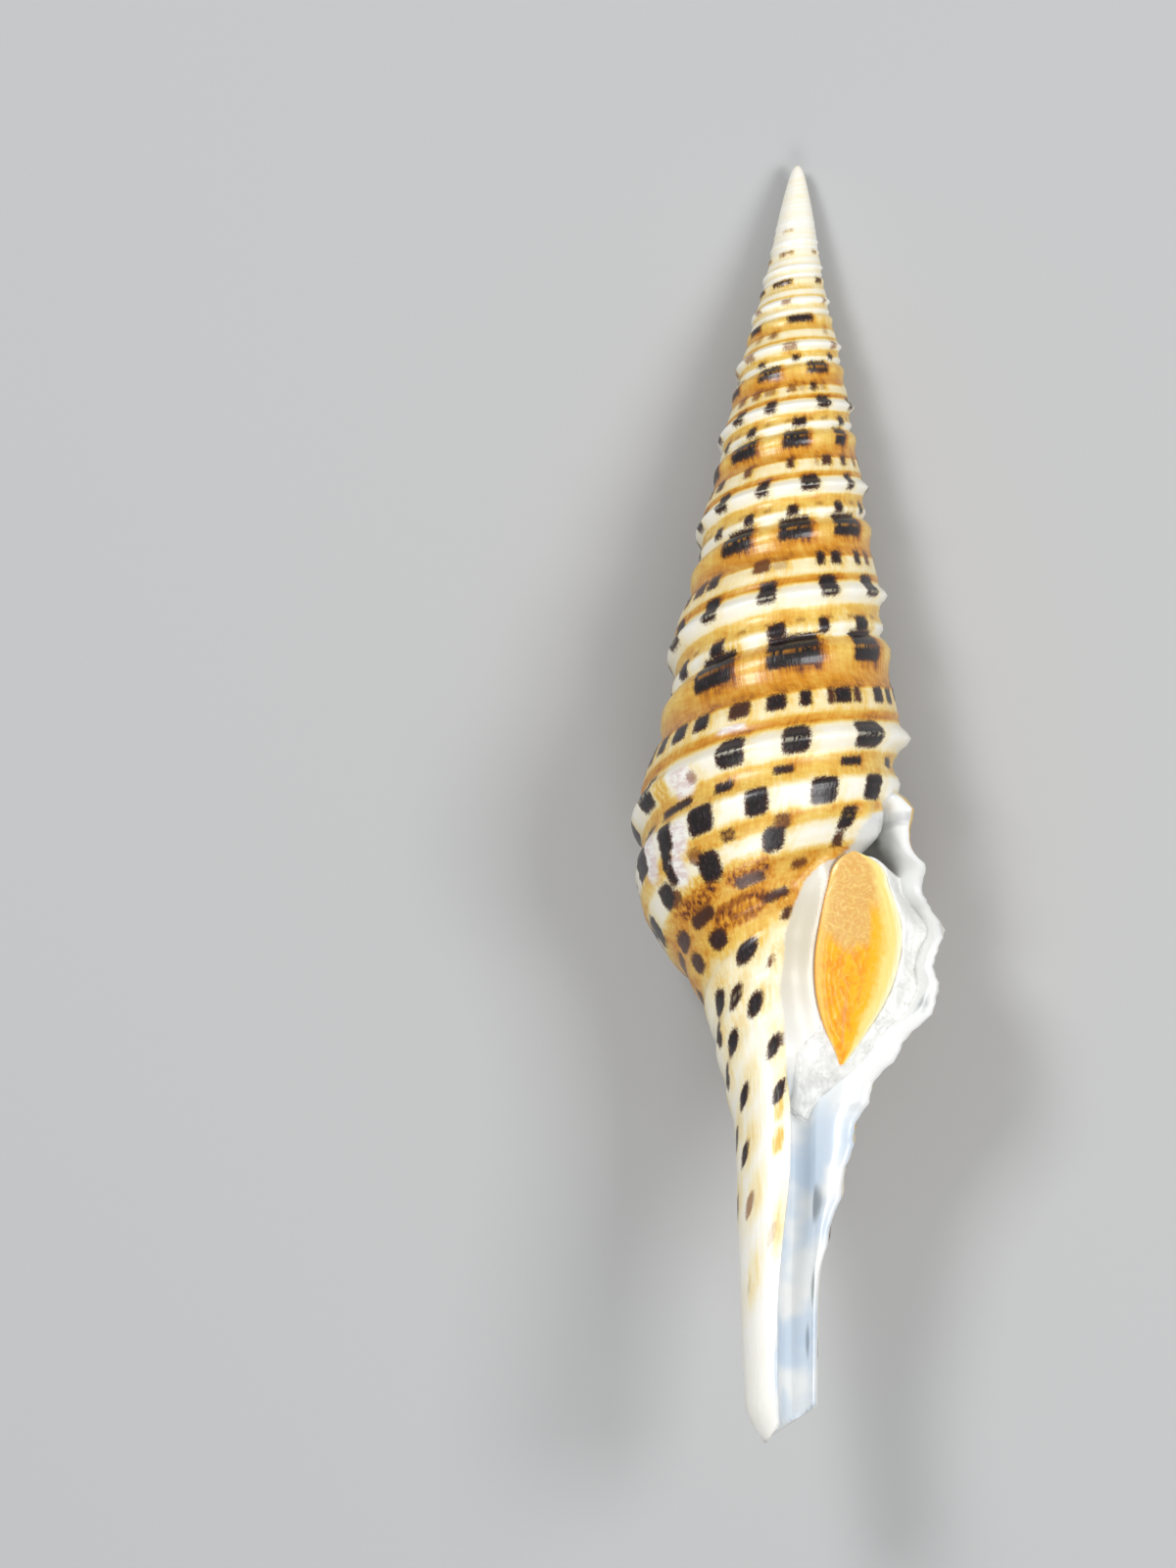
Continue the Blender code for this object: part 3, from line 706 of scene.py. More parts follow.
def shell_grid():
    """Every grid point: its place, and what the painting needs to know about it."""
    rows, start, per_whorl = shell_rows()
    tip_lip = LIP_TURN[-1][1]
    opened = np.append(ramp(*OPENING_BANDS, start), 1.0)
    columns = []

    def with_tip(band, turn):
        """Distance down and band of a column, with the point on the tip's edge added to both."""
        down = np.append(down_at(band + turn[:-1]), tip_down(turn[-1]))
        return down, np.append(band, spiral_at(down[-1]) - turn[-1])

    def add(side, down, front, turn, band, share):
        columns.append([side, down, front, turn, band, np.full(len(rows) + 1, share)])

    for share in strip_shares():
        lip = np.append(smooth(LIP_TURN, start - 1), tip_lip)
        turn = blend(lip, COLUMELLA_TURN, share)
        down, band = with_tip(blend(start, rows, share), turn)
        over = int(share == 0)
        closed = np.array(polar(turn, radius_at(over + turn, down, band - over), down))
        edge = np.minimum(smooth(OPENING_EDGE, down), COLUMELLA_TURN)
        end = np.maximum((edge - lip) / (COLUMELLA_TURN - lip), LEAST_OPENING)
        edge = blend(lip, COLUMELLA_TURN, end)
        within = np.minimum(share / end, 1 - TINY)
        hollow = hollow_points(within, lip, edge, np.maximum(down, HOLLOW_TOP))
        hollow = np.where(share >= end, closed, rounded_edge(within, lip, hollow))
        side, front = with_knob(turn, down, *blend(closed, hollow, opened))
        add(side, down, front, turn, band, share)
    for share in np.arange(OUTER_COLUMNS) / OUTER_COLUMNS:
        edge = 1 + np.append(smooth(LIP_TURN, rows), tip_lip)
        turn = blend(COLUMELLA_TURN, edge, share)
        down, band = with_tip(rows, turn)
        side, front = polar(turn, radius_at(turn, down, band), down)
        add(side, down, front, turn, band, OUTSIDE)
    names = ("side", "down", "front", "turn", "band", "share")
    return SimpleNamespace(**dict(zip(names, np.array(columns).swapaxes(0, 1)))), per_whorl


def merged_index(grid):
    """Which grid point each grid point becomes: fewer are kept near the apex, and the last row is the tip."""
    down = grid.down
    length = down.shape[1]
    i, j = np.indices(down.shape)
    target = i * length + np.where(down >= down[:, -1:] - TIP_SNAP, length - 1, j)
    down = down.ravel()
    for _ in range(3):
        i, j = target // length, target % length
        step = np.where(down[target] < MERGE_4_ABOVE, 4, np.where(down[target] < MERGE_2_ABOVE, 2, 1))
        step = np.where(j < length - 1, step, 1)
        target = (i - i % step) * length + j - j % step
    return np.where(down[target] < APEX, 0, target)


def shell_faces(target, per_whorl):
    """Faces between the columns, where the last meets the first one whorl further down, and the tip."""
    last = target.shape[1] - 1
    first = target[0, np.minimum(np.arange(last + 1) + per_whorl, last)]
    later = np.vstack([target[1:], first])
    quads = np.stack([later[:, :-1], later[:, 1:], target[:, 1:], target[:, :-1]], axis=-1)
    faces = {}
    for quad in quads.reshape(-1, 4).tolist():
        corners = list(dict.fromkeys(quad))
        if len(corners) > 2:
            faces.setdefault(frozenset(corners), corners)
    return [*faces.values(), target[:, -1].tolist()]


def make_object(name, points, faces, attributes=None):
    """A mesh object with smooth faces and the given per-point attributes."""
    mesh = bpy.data.meshes.new(name)
    mesh.from_pydata(points.tolist(), [], faces)
    for key, values in (attributes or {}).items():
        kind, field = ("FLOAT_VECTOR", "vector") if values.ndim == 2 else ("FLOAT", "value")
        layer = mesh.attributes.new(key, kind, "POINT")
        layer.data.foreach_set(field, values.astype(np.float32).ravel())
    mesh.validate()
    mesh.shade_smooth()
    piece = bpy.data.objects.new(name, mesh)
    bpy.context.scene.collection.objects.link(piece)
    return piece


def fix_normals(piece):
    mesh = bmesh.new()
    mesh.from_mesh(piece.data)
    big = [face for face in mesh.faces if len(face.verts) > 4]
    bmesh.ops.triangulate(mesh, faces=big, ngon_method="EAR_CLIP")
    bmesh.ops.recalc_face_normals(mesh, faces=mesh.faces[:])
    mesh.to_mesh(piece.data)
    mesh.free()
    return piece


# Painting


def apart(turn, band, at_turn, at_band):
    """How far points are from a mark, in turns and in band, over the nearest of its equal positions."""
    shift = np.round(turn - at_turn)
    return turn - at_turn - shift, band - at_band + shift


class Paint:
    """Dark marks as distances inside their edges, in mm, with how dark each is."""

    def __init__(self, grid):
        self.turn, self.band, self.down = grid.turn, grid.band, grid.down
        self.radius = grid.radius
        self.dark = np.full(self.turn.shape, NO_MARK)
        self.depth = np.zeros(self.turn.shape)
        self.halo = np.zeros(self.turn.shape)

    def mark(self, turn, band, half_turn, half_band, depth, halo, drift=0.0, corner=0.35):
        """A rounded rectangle on its cord, with a golden fringe. drift leans it, in turns per band."""
        dt, db = apart(self.turn, self.band, turn, band)
        near = (np.abs(dt) < half_turn + MARGIN_TURNS) & (np.abs(db) < half_band + MARGIN_BAND)
        dt, db = dt[near], db[near]
        x = np.abs(dt - drift * db) * math.tau * self.radius[near] / MM
        y = np.abs(db) * self.down[near] * math.log(GROWTH) / MM
        size = self.down[near].mean() / MM if near.any() else 1.0
        wide = half_turn * math.tau * self.radius[near] / MM
        high = half_band * size * math.log(GROWTH)
        corner = corner * np.minimum(wide, high)
        out = np.hypot(np.maximum(x - wide + corner, 0), np.maximum(y - high + corner, 0))
        inside = np.minimum(np.maximum(x - wide + corner, y - high + corner), 0)
        value = corner - out - inside
        deeper = value > self.dark[near]
        self.dark[near] = np.where(deeper, value, self.dark[near])
        self.depth[near] = np.where(deeper, depth, self.depth[near])
        lean = np.clip(-dt / half_turn, -1, 1) * 0.5 + 0.5
        glow = halo * (0.3 + 0.7 * lean) * np.exp(-(np.minimum(value, 0) / (HALO_REACH * size)) ** 2)
        self.halo[near] = np.maximum(self.halo[near], glow)


def paint_marks(paint):
    """All dark marks. Each kind has its own depth, golden fringe and roundness."""
    for above, (band, high, *marks) in enumerate(BLOTCHES):
        depth = 1.0 if above < 5 else 0.85 - 0.2 * (above - 5)
        for turn, half in marks:
            paint.mark(turn, band, half, high, depth, halo=0.60 - 0.05 * above, corner=0.3)
    for above, (band, high, *marks) in enumerate(KEEL_MARKS):
        for turn, half in marks:
            paint.mark(turn, band, half, high, 1.0 if above < 4 else 0.55, halo=0.22, corner=0.5)
    for band, high, *marks in WHITE_CORD_MARKS:
        for turn, half in marks:
            paint.mark(turn, band, half, high, 0.95, halo=0.25, corner=0.5)
    for band, turn, half, high, depth in LAST_WHORL_MARKS:
        paint.mark(turn, band, half, high, depth, halo=0.25, corner=0.6)
    for band, turn, half, high, depth in STREAKS:
        paint.mark(turn, band, half, high, depth, halo=0.28, drift=-0.10, corner=0.95)
    for turn, down, half, depth in CANAL_SPOTS:
        band = float(spiral_at(down)) - turn
        high = SPOT_HALF_HEIGHT * min(1, half / SMALL_SPOT) / (down * math.log(GROWTH))
        paint.mark(turn, band, half, high, depth, halo=0.34, drift=0.12, corner=0.95)
    paint_sinus_marks(paint)
    paint_spire_dots(paint)


def paint_sinus_marks(paint):
    """The beaded cord: the marks of the side in view, and then seeded ones of the same kind behind."""
    rng = np.random.default_rng(SEED)
    for band, high, *marks in SINUS_MARKS:
        for turn, half, depth in marks:
            paint.mark(turn, band, half, high, depth, halo=0.25)
        turn = SINUS_FIRST_UNSEEN
        while turn < SINUS_LAST_UNSEEN:
            half = 0.0075 + 0.006 * rng.random()
            paint.mark(turn, band, half, high, 0.5 + 0.45 * rng.random(), halo=0.25)
            turn += 2 * half + 0.014 + 0.018 * rng.random()


def paint_spire_dots(paint):
    """Small pale brown dots on the cord below the keel of the whorls above."""
    rng = np.random.default_rng(SEED + 1)
    for above in range(1, 4):
        turn = 0.01
        while turn < 1.0:
            paint.mark(turn, 0.19 - above, 0.006 + 0.004 * rng.random(), 0.015, 0.45, halo=0.1, corner=0.8)
            turn += 0.035 + 0.03 * rng.random()


def ground_colour(grid):
    """How deep the ground's colour is, along each whorl and fading towards the apex."""
    band = grid.band
    ground = np.where(band < 1 + SUTURE, linear(GROUND, in_whorl(band)), linear(BASE_GROUND, band))
    return ground * blend(APEX_COLOUR, 1, ramp(*COLOUR_RANGE, grid.down))


def patch(grid, marks):
    """1 inside the given rounded patches, 0 outside them."""
    value = np.zeros(grid.turn.shape)
    for band, turn, half_turn, half_band in marks:
        dt, db = apart(grid.turn, grid.band, turn, band)
        out = (np.abs(dt / half_turn) ** 3 + np.abs(db / half_band) ** 3) ** (1 / 3)
        value = np.maximum(value, 1 - ramp(0.75, 1.25, out))
    return value


def ghosts(grid):
    """Where the outside's spots show through the thin inside of the lip, and how dark."""
    value = np.zeros(grid.turn.shape)
    for turn, down, half_turn, half_height, dark in GHOSTS:
        out = np.hypot((grid.turn - turn) / half_turn, (grid.down - down) / half_height)
        value = np.maximum(value, dark * (1 - ramp(0.5, 1.3, out)))
    return value * (grid.share != OUTSIDE)


def warm_callus(grid):
    """Where the callus beside the operculum is cream rather than white."""
    across = ramp(*WARM_TURNS, grid.turn) * (grid.share != OUTSIDE)
    return across * bump(grid.down, *WARM_AT)


def white_lines(grid):
    """Fine pale lines on the crests that cross the dark marks."""
    return bumps(CREST_LINES, in_whorl(grid.band)) * (grid.down > CREST_LINES_FROM)


def inside_colour(grid):
    """1 on the smooth white callus and the inside of the lip and canal, 0 on the painted outside."""
    turn, down, band = grid.turn, grid.down, grid.band
    edge = np.where(down < CALLUS_EDGE[0][0], -1.0, linear(CALLUS_EDGE, down))
    callus = ramp(0.006, -0.008, turn - edge)
    lip = ramp(-0.018, -0.004, turn - 1 - smooth(LIP_TURN, band)) * (grid.share == OUTSIDE)
    return np.maximum(callus, lip * (band > WHITE_LIP_BAND))


def flow(grid):
    """Coordinates in which growth lines are straight, for the shaders' noise."""
    band = in_whorl(np.minimum(grid.band, FLOW_TO_BAND))
    sweep = SINUS_SWEEP * np.exp(-((band - SINUS_BAND) / SINUS_WIDTH) ** 2)
    angle = math.tau * (grid.turn + sweep)
    reach = grid.radius / MM
    return np.stack([reach * np.cos(angle), grid.down / MM, reach * np.sin(angle)], axis=-1)


def build_shell():
    grid, per_whorl = shell_grid()
    grid.radius = np.hypot(grid.side - smooth(CANAL_BEND, grid.down), grid.front)
    faces = shell_faces(merged_index(grid), per_whorl)
    used = sorted({corner for face in faces for corner in face})
    number = {old: new for new, old in enumerate(used)}
    faces = [[number[corner] for corner in face] for face in faces]
    flat = SimpleNamespace(**{name: values.ravel()[used] for name, values in vars(grid).items()})
    apex = flat.down < APEX
    for values in (flat.side, flat.down, flat.front):
        values[apex] = 0.0
    points = place(flat.side, flat.down, flat.front)
    points[:, 2] = np.maximum(points[:, 2], 0.0)
    paint = Paint(flat)
    paint_marks(paint)
    attributes = {
        "dark": paint.dark,
        "depth": paint.depth,
        "halo": np.maximum(paint.halo, STAIN_DEPTH * patch(flat, STAINS)),
        "patch": patch(flat, PATCHES),
        "ghost": ghosts(flat),
        "warm": warm_callus(flat),
        "cool": ramp(*COOL_RANGE, flat.down),
        "ground": ground_colour(flat),
        "line": white_lines(flat),
        "inside": inside_colour(flat),
        "flow": flow(flat),
    }
    return fix_normals(make_object("shell_body", points, faces, attributes))


# Shader helpers


def srgb(red, green, blue):
    """A colour given as 0 to 255 on screen, as the linear colour that a shader takes."""
    def channel(value):
        value = value / 255
        return value / 12.92 if value <= 0.04045 else ((value + 0.055) / 1.055) ** 2.4

    return channel(red), channel(green), channel(blue), 1.0


class Nodes:
    """Short calls for building a material's nodes."""

    def __init__(self, name):
        self.material = bpy.data.materials.new(name)
        self.material.use_nodes = True
        self.tree = self.material.node_tree
        self.shader = self.tree.nodes["Principled BSDF"]

    def link(self, source, target):
        if isinstance(source, (int, float, tuple)):
            target.default_value = source
        else:
            self.tree.links.new(source, target)

    def add(self, kind, inputs=None, output=0, **settings):
        """One output of a new node, with its inputs linked or set."""
        node = self.tree.nodes.new(kind)
        for key, value in settings.items():
            setattr(node, key, value)
        for key, value in (inputs or {}).items():
            self.link(value, node.inputs[key])
        return node.outputs[output]

    def attribute(self, name, output="Fac"):
        return self.add("ShaderNodeAttribute", output=output, attribute_name=name)

    def math(self, operation, a, b=0.0, clamp=False):
        return self.add("ShaderNodeMath", {0: a, 1: b}, operation=operation, use_clamp=clamp)

    def times(self, a, b):
        return self.math("MULTIPLY", a, b)

    def plus(self, a, b, clamp=False):
        return self.math("ADD", a, b, clamp)

    def minus(self, a, b):
        return self.math("SUBTRACT", a, b)

    def swing(self, noise, amount):
        """A noise moved to lie about zero, times amount."""
        return self.times(self.minus(noise, 0.5), amount)

    def step(self, value, low, high, to_low=0.0, to_high=1.0):
        inputs = {"Value": value, "From Min": low, "From Max": high, "To Min": to_low, "To Max": to_high}
        return self.add("ShaderNodeMapRange", inputs, interpolation_type="SMOOTHSTEP")

    def noise(self, vector, scale, detail=2.0, roughness=0.5):
        inputs = {"Vector": vector, "Scale": scale, "Detail": detail, "Roughness": roughness}
        return self.add("ShaderNodeTexNoise", inputs, "Fac")

    def scaled(self, vector, scale):
        return self.add("ShaderNodeVectorMath", {0: vector, 1: scale}, operation="MULTIPLY")

    def mix(self, factor, a, b):
        return self.add("ShaderNodeMix", {"Factor": factor, 6: a, 7: b}, 2, data_type="RGBA")

    def ramp(self, factor, stops):
        colour = self.add("ShaderNodeValToRGB", {0: factor})
        points = colour.node.color_ramp.elements
        while len(points) < len(stops):
            points.new(0.5)
        for point, (at, shade) in zip(points, stops):
            point.position = at
            point.color = shade
        return colour

    def bumped(self, height, strength, distance):
        inputs = {"Strength": strength, "Distance": distance, "Height": height}
        self.link(self.add("ShaderNodeBump", inputs), self.shader.inputs["Normal"])

    def finish(self, colour, roughness, **values):
        self.link(colour, self.shader.inputs["Base Color"])
        self.link(roughness, self.shader.inputs["Roughness"])
        for key, value in values.items():
            self.shader.inputs[key.replace("_", " ")].default_value = value
        return self.material


WHITE = srgb(255, 254, 247)
CREAM = srgb(253, 240, 198)
YELLOW = srgb(240, 200, 96)
ORANGE = srgb(214, 142, 26)
RUST = srgb(138, 72, 8)
BROWN = srgb(66, 28, 6)
BLACK = srgb(20, 12, 12)
# Painted sheen: the bluish-grey highlight streaks on the black marks
PAINTED_SHEEN_PLUM = srgb(66, 50, 58)
PINK = srgb(236, 218, 214)
PORCELAIN = srgb(238, 239, 237)
PALE_BLUE = srgb(208, 220, 232)
IVORY = srgb(214, 205, 183)
SMOKE = srgb(96, 104, 112)
AMBER = srgb(252, 184, 10)
DEEP_AMBER = srgb(242, 152, 2)
OCHRE = srgb(226, 172, 92)
STRAW = srgb(246, 222, 132)
PALE_HORN = srgb(246, 236, 190)
PINK_HORN = srgb(232, 156, 96)
WOOL_SHADE = srgb(228, 228, 224)
WOOL_WHITE = srgb(250, 250, 248)
FIBRE_WHITE = srgb(248, 248, 246)
FLOOR_GREY = srgb(186, 187, 188)


def shell_ground(n, along, streaks):
    """Colour between the dark marks: cream on the cords, golden in the grooves and beside the marks."""
    broad = n.noise(along, 0.45)
    smudges = n.noise(n.scaled(along, (1.0, 2.2, 1.0)), 1.1, 3.0, 0.6)
    ground = n.attribute("ground")
    varied = n.plus(n.plus(n.swing(broad, 0.30), n.swing(smudges, 0.32)), n.swing(streaks, 0.25))
    varied = n.plus(ground, n.times(varied, n.step(ground, 0.0, 0.4, 0.25, 1.0)))
    warm = n.times(n.attribute("halo"), n.step(streaks, 0.35, 0.62, 0.45, 0.85))
    stops = ((0.0, WHITE), (0.18, CREAM), (0.42, YELLOW), (0.68, ORANGE), (0.92, RUST), (1.0, BROWN))
    colour = n.ramp(n.plus(varied, warm, clamp=True), stops)
    scar = n.mix(n.step(smudges, 0.40, 0.60), WHITE, PINK)
    return n.mix(n.attribute("patch"), colour, scar)


def shell_marks(n, colour, streaks, fibres, fine):
    """The dark marks over the ground: frayed at their edges, brown there and black inside, with streaks of
    painted plum sheen.
    """
    edge = n.plus(n.attribute("dark"), n.plus(n.swing(fibres, 0.38), n.swing(fine, 0.40)))
    depth = n.attribute("depth")
    cover = n.times(n.step(edge, -0.20, 0.14), n.step(depth, 0.0, 0.8))
    # The plum streaks in the black are painted sheen, a bluish-grey glossy highlight painted into the marks'
    # colour.
    inky_with_sheen = n.mix(n.step(fibres, 0.52, 0.72), BLACK, PAINTED_SHEEN_PLUM)
    inky_with_sheen = n.mix(n.step(edge, 0.02, 0.34), BROWN, inky_with_sheen)
    mark = n.mix(n.step(depth, 0.50, 0.92), RUST, inky_with_sheen)
    line = n.times(n.attribute("line"), n.step(streaks, 0.42, 0.55))
    cover = n.times(cover, n.minus(1.0, n.times(line, 0.7)))
    return n.mix(cover, colour, mark)


def shell_enamel(n, along):
    """The inside's white, with a bluish canal, warm callus and the outside's spots showing through."""
    blue = n.times(n.step(n.noise(along, 0.22), 0.40, 0.60), n.attribute("cool"))
    enamel = n.mix(blue, PORCELAIN, PALE_BLUE)
    enamel = n.mix(n.attribute("warm"), enamel, IVORY)
    return n.mix(n.attribute("ghost"), enamel, SMOKE)


def shell_material():
    n = Nodes("shell_painted")
    along = n.attribute("flow", "Vector")
    streaks = n.noise(n.scaled(along, (1.0, 0.09, 1.0)), 3.2, 3.0, 0.6)
    fibres = n.noise(n.scaled(along, (1.0, 0.14, 1.0)), 8.0, 2.0, 0.6)
    fine = n.noise(along, 6.0, 2.0, 0.6)
    colour = shell_marks(n, shell_ground(n, along, streaks), streaks, fibres, fine)
    inside = n.attribute("inside")
    glaze = n.step(n.plus(inside, n.swing(fine, 0.5)), 0.25, 0.75)
    glaze = n.times(glaze, n.step(inside, 0.0, 0.1))
    colour = n.mix(glaze, colour, shell_enamel(n, along))
    height = n.plus(n.times(streaks, 0.7), n.times(fibres, 0.3))
    n.bumped(n.times(height, n.minus(1.0, inside)), 0.4, 0.12 * MM)
    rough = n.plus(0.26, n.times(streaks, 0.14))
    return n.finish(colour, rough, IOR=1.53, Coat_Weight=0.2, Coat_Roughness=0.12)


# Operculum


def plate_level(down):
    fall = (down - OPERCULUM_TOP) / (OPERCULUM_TIP - OPERCULUM_TOP)
    return blend(OPERCULUM_FRONT_TOP, OPERCULUM_FRONT_TIP, fall)


def two_sided(rows, columns):
    """Faces of a sheet's front and back, and of the border between them, for two grids of points."""
    back = rows * columns
    grid = np.arange(back).reshape(rows, columns)
    quads = np.stack([grid[:-1, :-1], grid[1:, :-1], grid[1:, 1:], grid[:-1, 1:]], axis=-1).reshape(-1, 4)
    faces = np.stack([quads, back + quads[:, ::-1]], axis=1).reshape(-1, 4).tolist()
    border = np.concatenate([grid[0], grid[1:, -1], grid[-1, -2::-1], grid[-2:0:-1, 0]])
    after = np.roll(border, -1)
    return faces + np.stack([border, after, back + after, back + border], axis=1).tolist()


def operculum_sheet(side_of):
    """Grid of one side of the plate: side_of is 1 for its front and -1 for its back."""
    across = 0.5 - 0.5 * np.cos(math.pi * np.linspace(0, 1, OPERCULUM_COLUMNS + 1))
    along = 0.5 - 0.5 * np.cos(math.pi * np.linspace(0, 1, OPERCULUM_ROWS + 1))
    across, along = np.meshgrid(across, along)
    down = blend(OPERCULUM_TOP, OPERCULUM_TIP, along)
    left, right = smooth(OPERCULUM_LEFT, down), smooth(OPERCULUM_RIGHT, down)
    blunt = np.clip(1 - along / OPERCULUM_ROUNDING, 0, 1)
    side = (left + right) / 2 + (right - left) * np.sqrt(1 - blunt ** 2) * (across - 0.5)
    rim = (2 * across - 1) ** 2
    edge = np.clip(1 - rim ** 3, 0, 1) ** 0.5 * np.clip(np.sin(math.pi * along) * 6, 0, 1)
    front = plate_level(down) + OPERCULUM_DISH * rim * np.sin(math.pi * along)
    front = front + side_of * OPERCULUM_THICKNESS / 2 * edge
    if side_of > 0:
        front = front + growth_ridges(side, down) * edge
    return side, down, front, across, along


def growth_ridges(side, down):
    """Low wavy ridges round a point of the plate's lower half."""
    x = (side - RIDGES_SIDE) / RIDGES_WIDE
    y = (down - RIDGES_DOWN) / RIDGES_HIGH
    wave = 0.5 * np.sin(7 * x + 2.0) + 0.35 * np.sin(15 * y + 4 * x)
    return RIDGE_HEIGHT * np.sin(np.hypot(x, y) * math.tau * RIDGES + wave * 1.6)


def build_operculum():
    both = np.stack([operculum_sheet(1), operculum_sheet(-1)], axis=1)
    side, down, front, across, along = both.reshape(5, -1)
    rings = np.stack([side / MM, down / MM, np.zeros_like(side)], axis=-1)
    attributes = {"across": across, "along": along, "rings": rings}
    faces = two_sided(*both.shape[2:])
    return fix_normals(make_object("operculum_plate", place(side, down, front), faces, attributes))


def horn_material():
    n = Nodes("horn")
    rings = n.attribute("rings", "Vector")
    warp = n.add("ShaderNodeTexNoise", {"Vector": rings, "Scale": 0.9}, "Color")
    bent = n.add("ShaderNodeVectorMath", {0: warp, 1: (1.6, 1.6, 0.0), 2: rings}, operation="MULTIPLY_ADD")
    lamella = n.noise(n.scaled(bent, (1.0, 0.45, 1.0)), 1.7, 4.0, 0.65)
    fine = n.noise(n.scaled(bent, (1.0, 0.22, 1.0)), 6.0, 3.0, 0.6)
    cells = n.noise(n.scaled(bent, (0.6, 1.0, 1.0)), 4.5)
    across, along = n.attribute("across"), n.attribute("along")
    wave = n.swing(lamella, 0.30)
    body = n.mix(n.step(lamella, 0.36, 0.64), DEEP_AMBER, AMBER)
    off = n.minus(across, 0.40)
    reach = n.plus(along, n.times(n.times(off, off), 0.9))
    upper = n.step(n.plus(reach, n.times(wave, 0.5)), 0.42, 0.50, 1.0, 0.0)
    body = n.mix(upper, body, n.mix(n.step(cells, 0.44, 0.62, 0.0, 0.40), OCHRE, STRAW))
    body = n.mix(n.times(n.step(across, 0.58, 0.68), n.step(along, 0.20, 0.32)), body, AMBER)
    body = n.mix(n.step(n.plus(across, n.times(wave, 0.7)), 0.70, 0.86), body, STRAW)
    body = n.mix(n.step(across, 0.90, 0.985), body, PALE_HORN)
    body = n.mix(n.step(across, 0.03, 0.16, 0.55, 0.0), body, STRAW)
    # Thin dark orange line along the left edge: partly the plate's own orange-brown rim, partly painted
    # contact shadow where the plate meets the shell.
    body = n.mix(n.step(across, 0.008, 0.03, 0.75, 0.0), body, DEEP_AMBER)
    middle = n.math("ABSOLUTE", n.minus(across, 0.42))
    midline = n.times(n.step(middle, 0.0, 0.05, 0.7, 0.0), n.step(along, 0.62, 0.74))
    body = n.mix(n.times(midline, n.step(along, 0.95, 0.85)), body, PINK_HORN)
    body = n.mix(n.step(fine, 0.50, 0.70, 0.0, 0.28), body, STRAW)
    n.bumped(n.plus(fine, n.times(lamella, 0.6)), 0.35, 0.10 * MM)
    return n.finish(body, 0.30, IOR=1.54, Coat_Weight=0.25, Coat_Roughness=0.1)


# Cotton wool


def cotton_end(share):
    """How far down the wad reaches: its end is rounded."""
    return COTTON_END - COTTON_END_ROUNDING * (2 * share - 0.9) ** 2


def cotton_surface(share, down):
    """Top of the wad: share runs across the opening, from the columella's side to the inside of the lip."""
    lip = smooth(LIP_TURN, spiral_at(down) - 1)
    outer = radius_at(1 + lip, down, spiral_at(down) - 1 - lip, fine=False)
    wall_side, wall_front = polar(lip - COTTON_INSIDE_LIP, outer - COTTON_SHORT_OF_LIP, down)
    plate_left, plate_right = smooth(OPERCULUM_LEFT, down), smooth(OPERCULUM_RIGHT, down)
    lower = ramp(*COTTON_SPREAD, down)
    left = blend(plate_left + COTTON_UNDER_PLATE, COTTON_LEFT, lower)
    side = blend(left, wall_side, share)
    level = plate_level(down) + COTTON_ABOVE_PLATE
    left_level = blend(level, COTTON_LEFT_FRONT, lower)
    front = blend(left_level, level, ramp(0, 1, (side - left) / np.maximum(plate_left - left, MM)))
    front = front - COTTON_LEFT_DIP * lower * (1 - ramp(0.0, 0.16, share))
    fall = ramp(0, 1, (side - plate_right) / np.maximum(wall_side - plate_right, 0.5 * MM))
    front = blend(front, wall_front - COTTON_BELOW_WALL, fall)
    cover = ramp(*PLATE_MARGIN, side - plate_left) * ramp(*PLATE_MARGIN, plate_right - side)
    cover = cover * (1 - ramp(-PLATE_TIP_MARGIN, PLATE_TIP_MARGIN, down - OPERCULUM_TIP))
    front = front - (OPERCULUM_THICKNESS / 2 + COTTON_ABOVE_PLATE + COTTON_CLEAR_OF_PLATE) * cover
    return side, front - COTTON_END_FALL * ramp(-COTTON_END_SLOPE, 0.0, down - cotton_end(share)) ** 1.5


def cotton_bottom(share, down):
    side, front = cotton_surface(share, down)
    thick = COTTON_THICKNESS * np.sin(math.pi * np.clip(share, 0, 1)) ** 0.5
    return side, front - thick * (1 - COTTON_THINNER * ramp(COTTON_THINS_FROM, COTTON_END, down))


def wool_noise(points, scale, seed):
    """Smooth seeded lumps: a sum of a few sine waves in random directions."""
    rng = np.random.default_rng(seed)
    value = np.zeros(len(points))
    for _ in range(WOOL_WAVES):
        direction = rng.normal(size=3)
        direction /= np.linalg.norm(direction)
        wave = scale * (0.5 + rng.random())
        value += np.sin(points @ direction / wave * math.tau + rng.random() * math.tau)
    return value / WOOL_WAVES ** 0.5


def build_cotton():
    share, along = np.meshgrid(np.linspace(0, 1, COTTON_ACROSS + 1), np.linspace(0, 1, COTTON_ROWS + 1))
    down = blend(COTTON_TOP, cotton_end(share), along)
    side, front = cotton_surface(share, down)
    upper = place(side, down, front).reshape(-1, 3)
    lumps = [wool_noise(upper, size, SEED + k) * height for k, (size, height) in enumerate(WOOL_LUMPS)]
    upper[:, 2] += sum(lumps)
    side, front = cotton_bottom(share, down)
    lower = place(side, down, front).reshape(-1, 3)
    return fix_normals(make_object("cotton_wool", np.concatenate([upper, lower]), two_sided(*share.shape)))


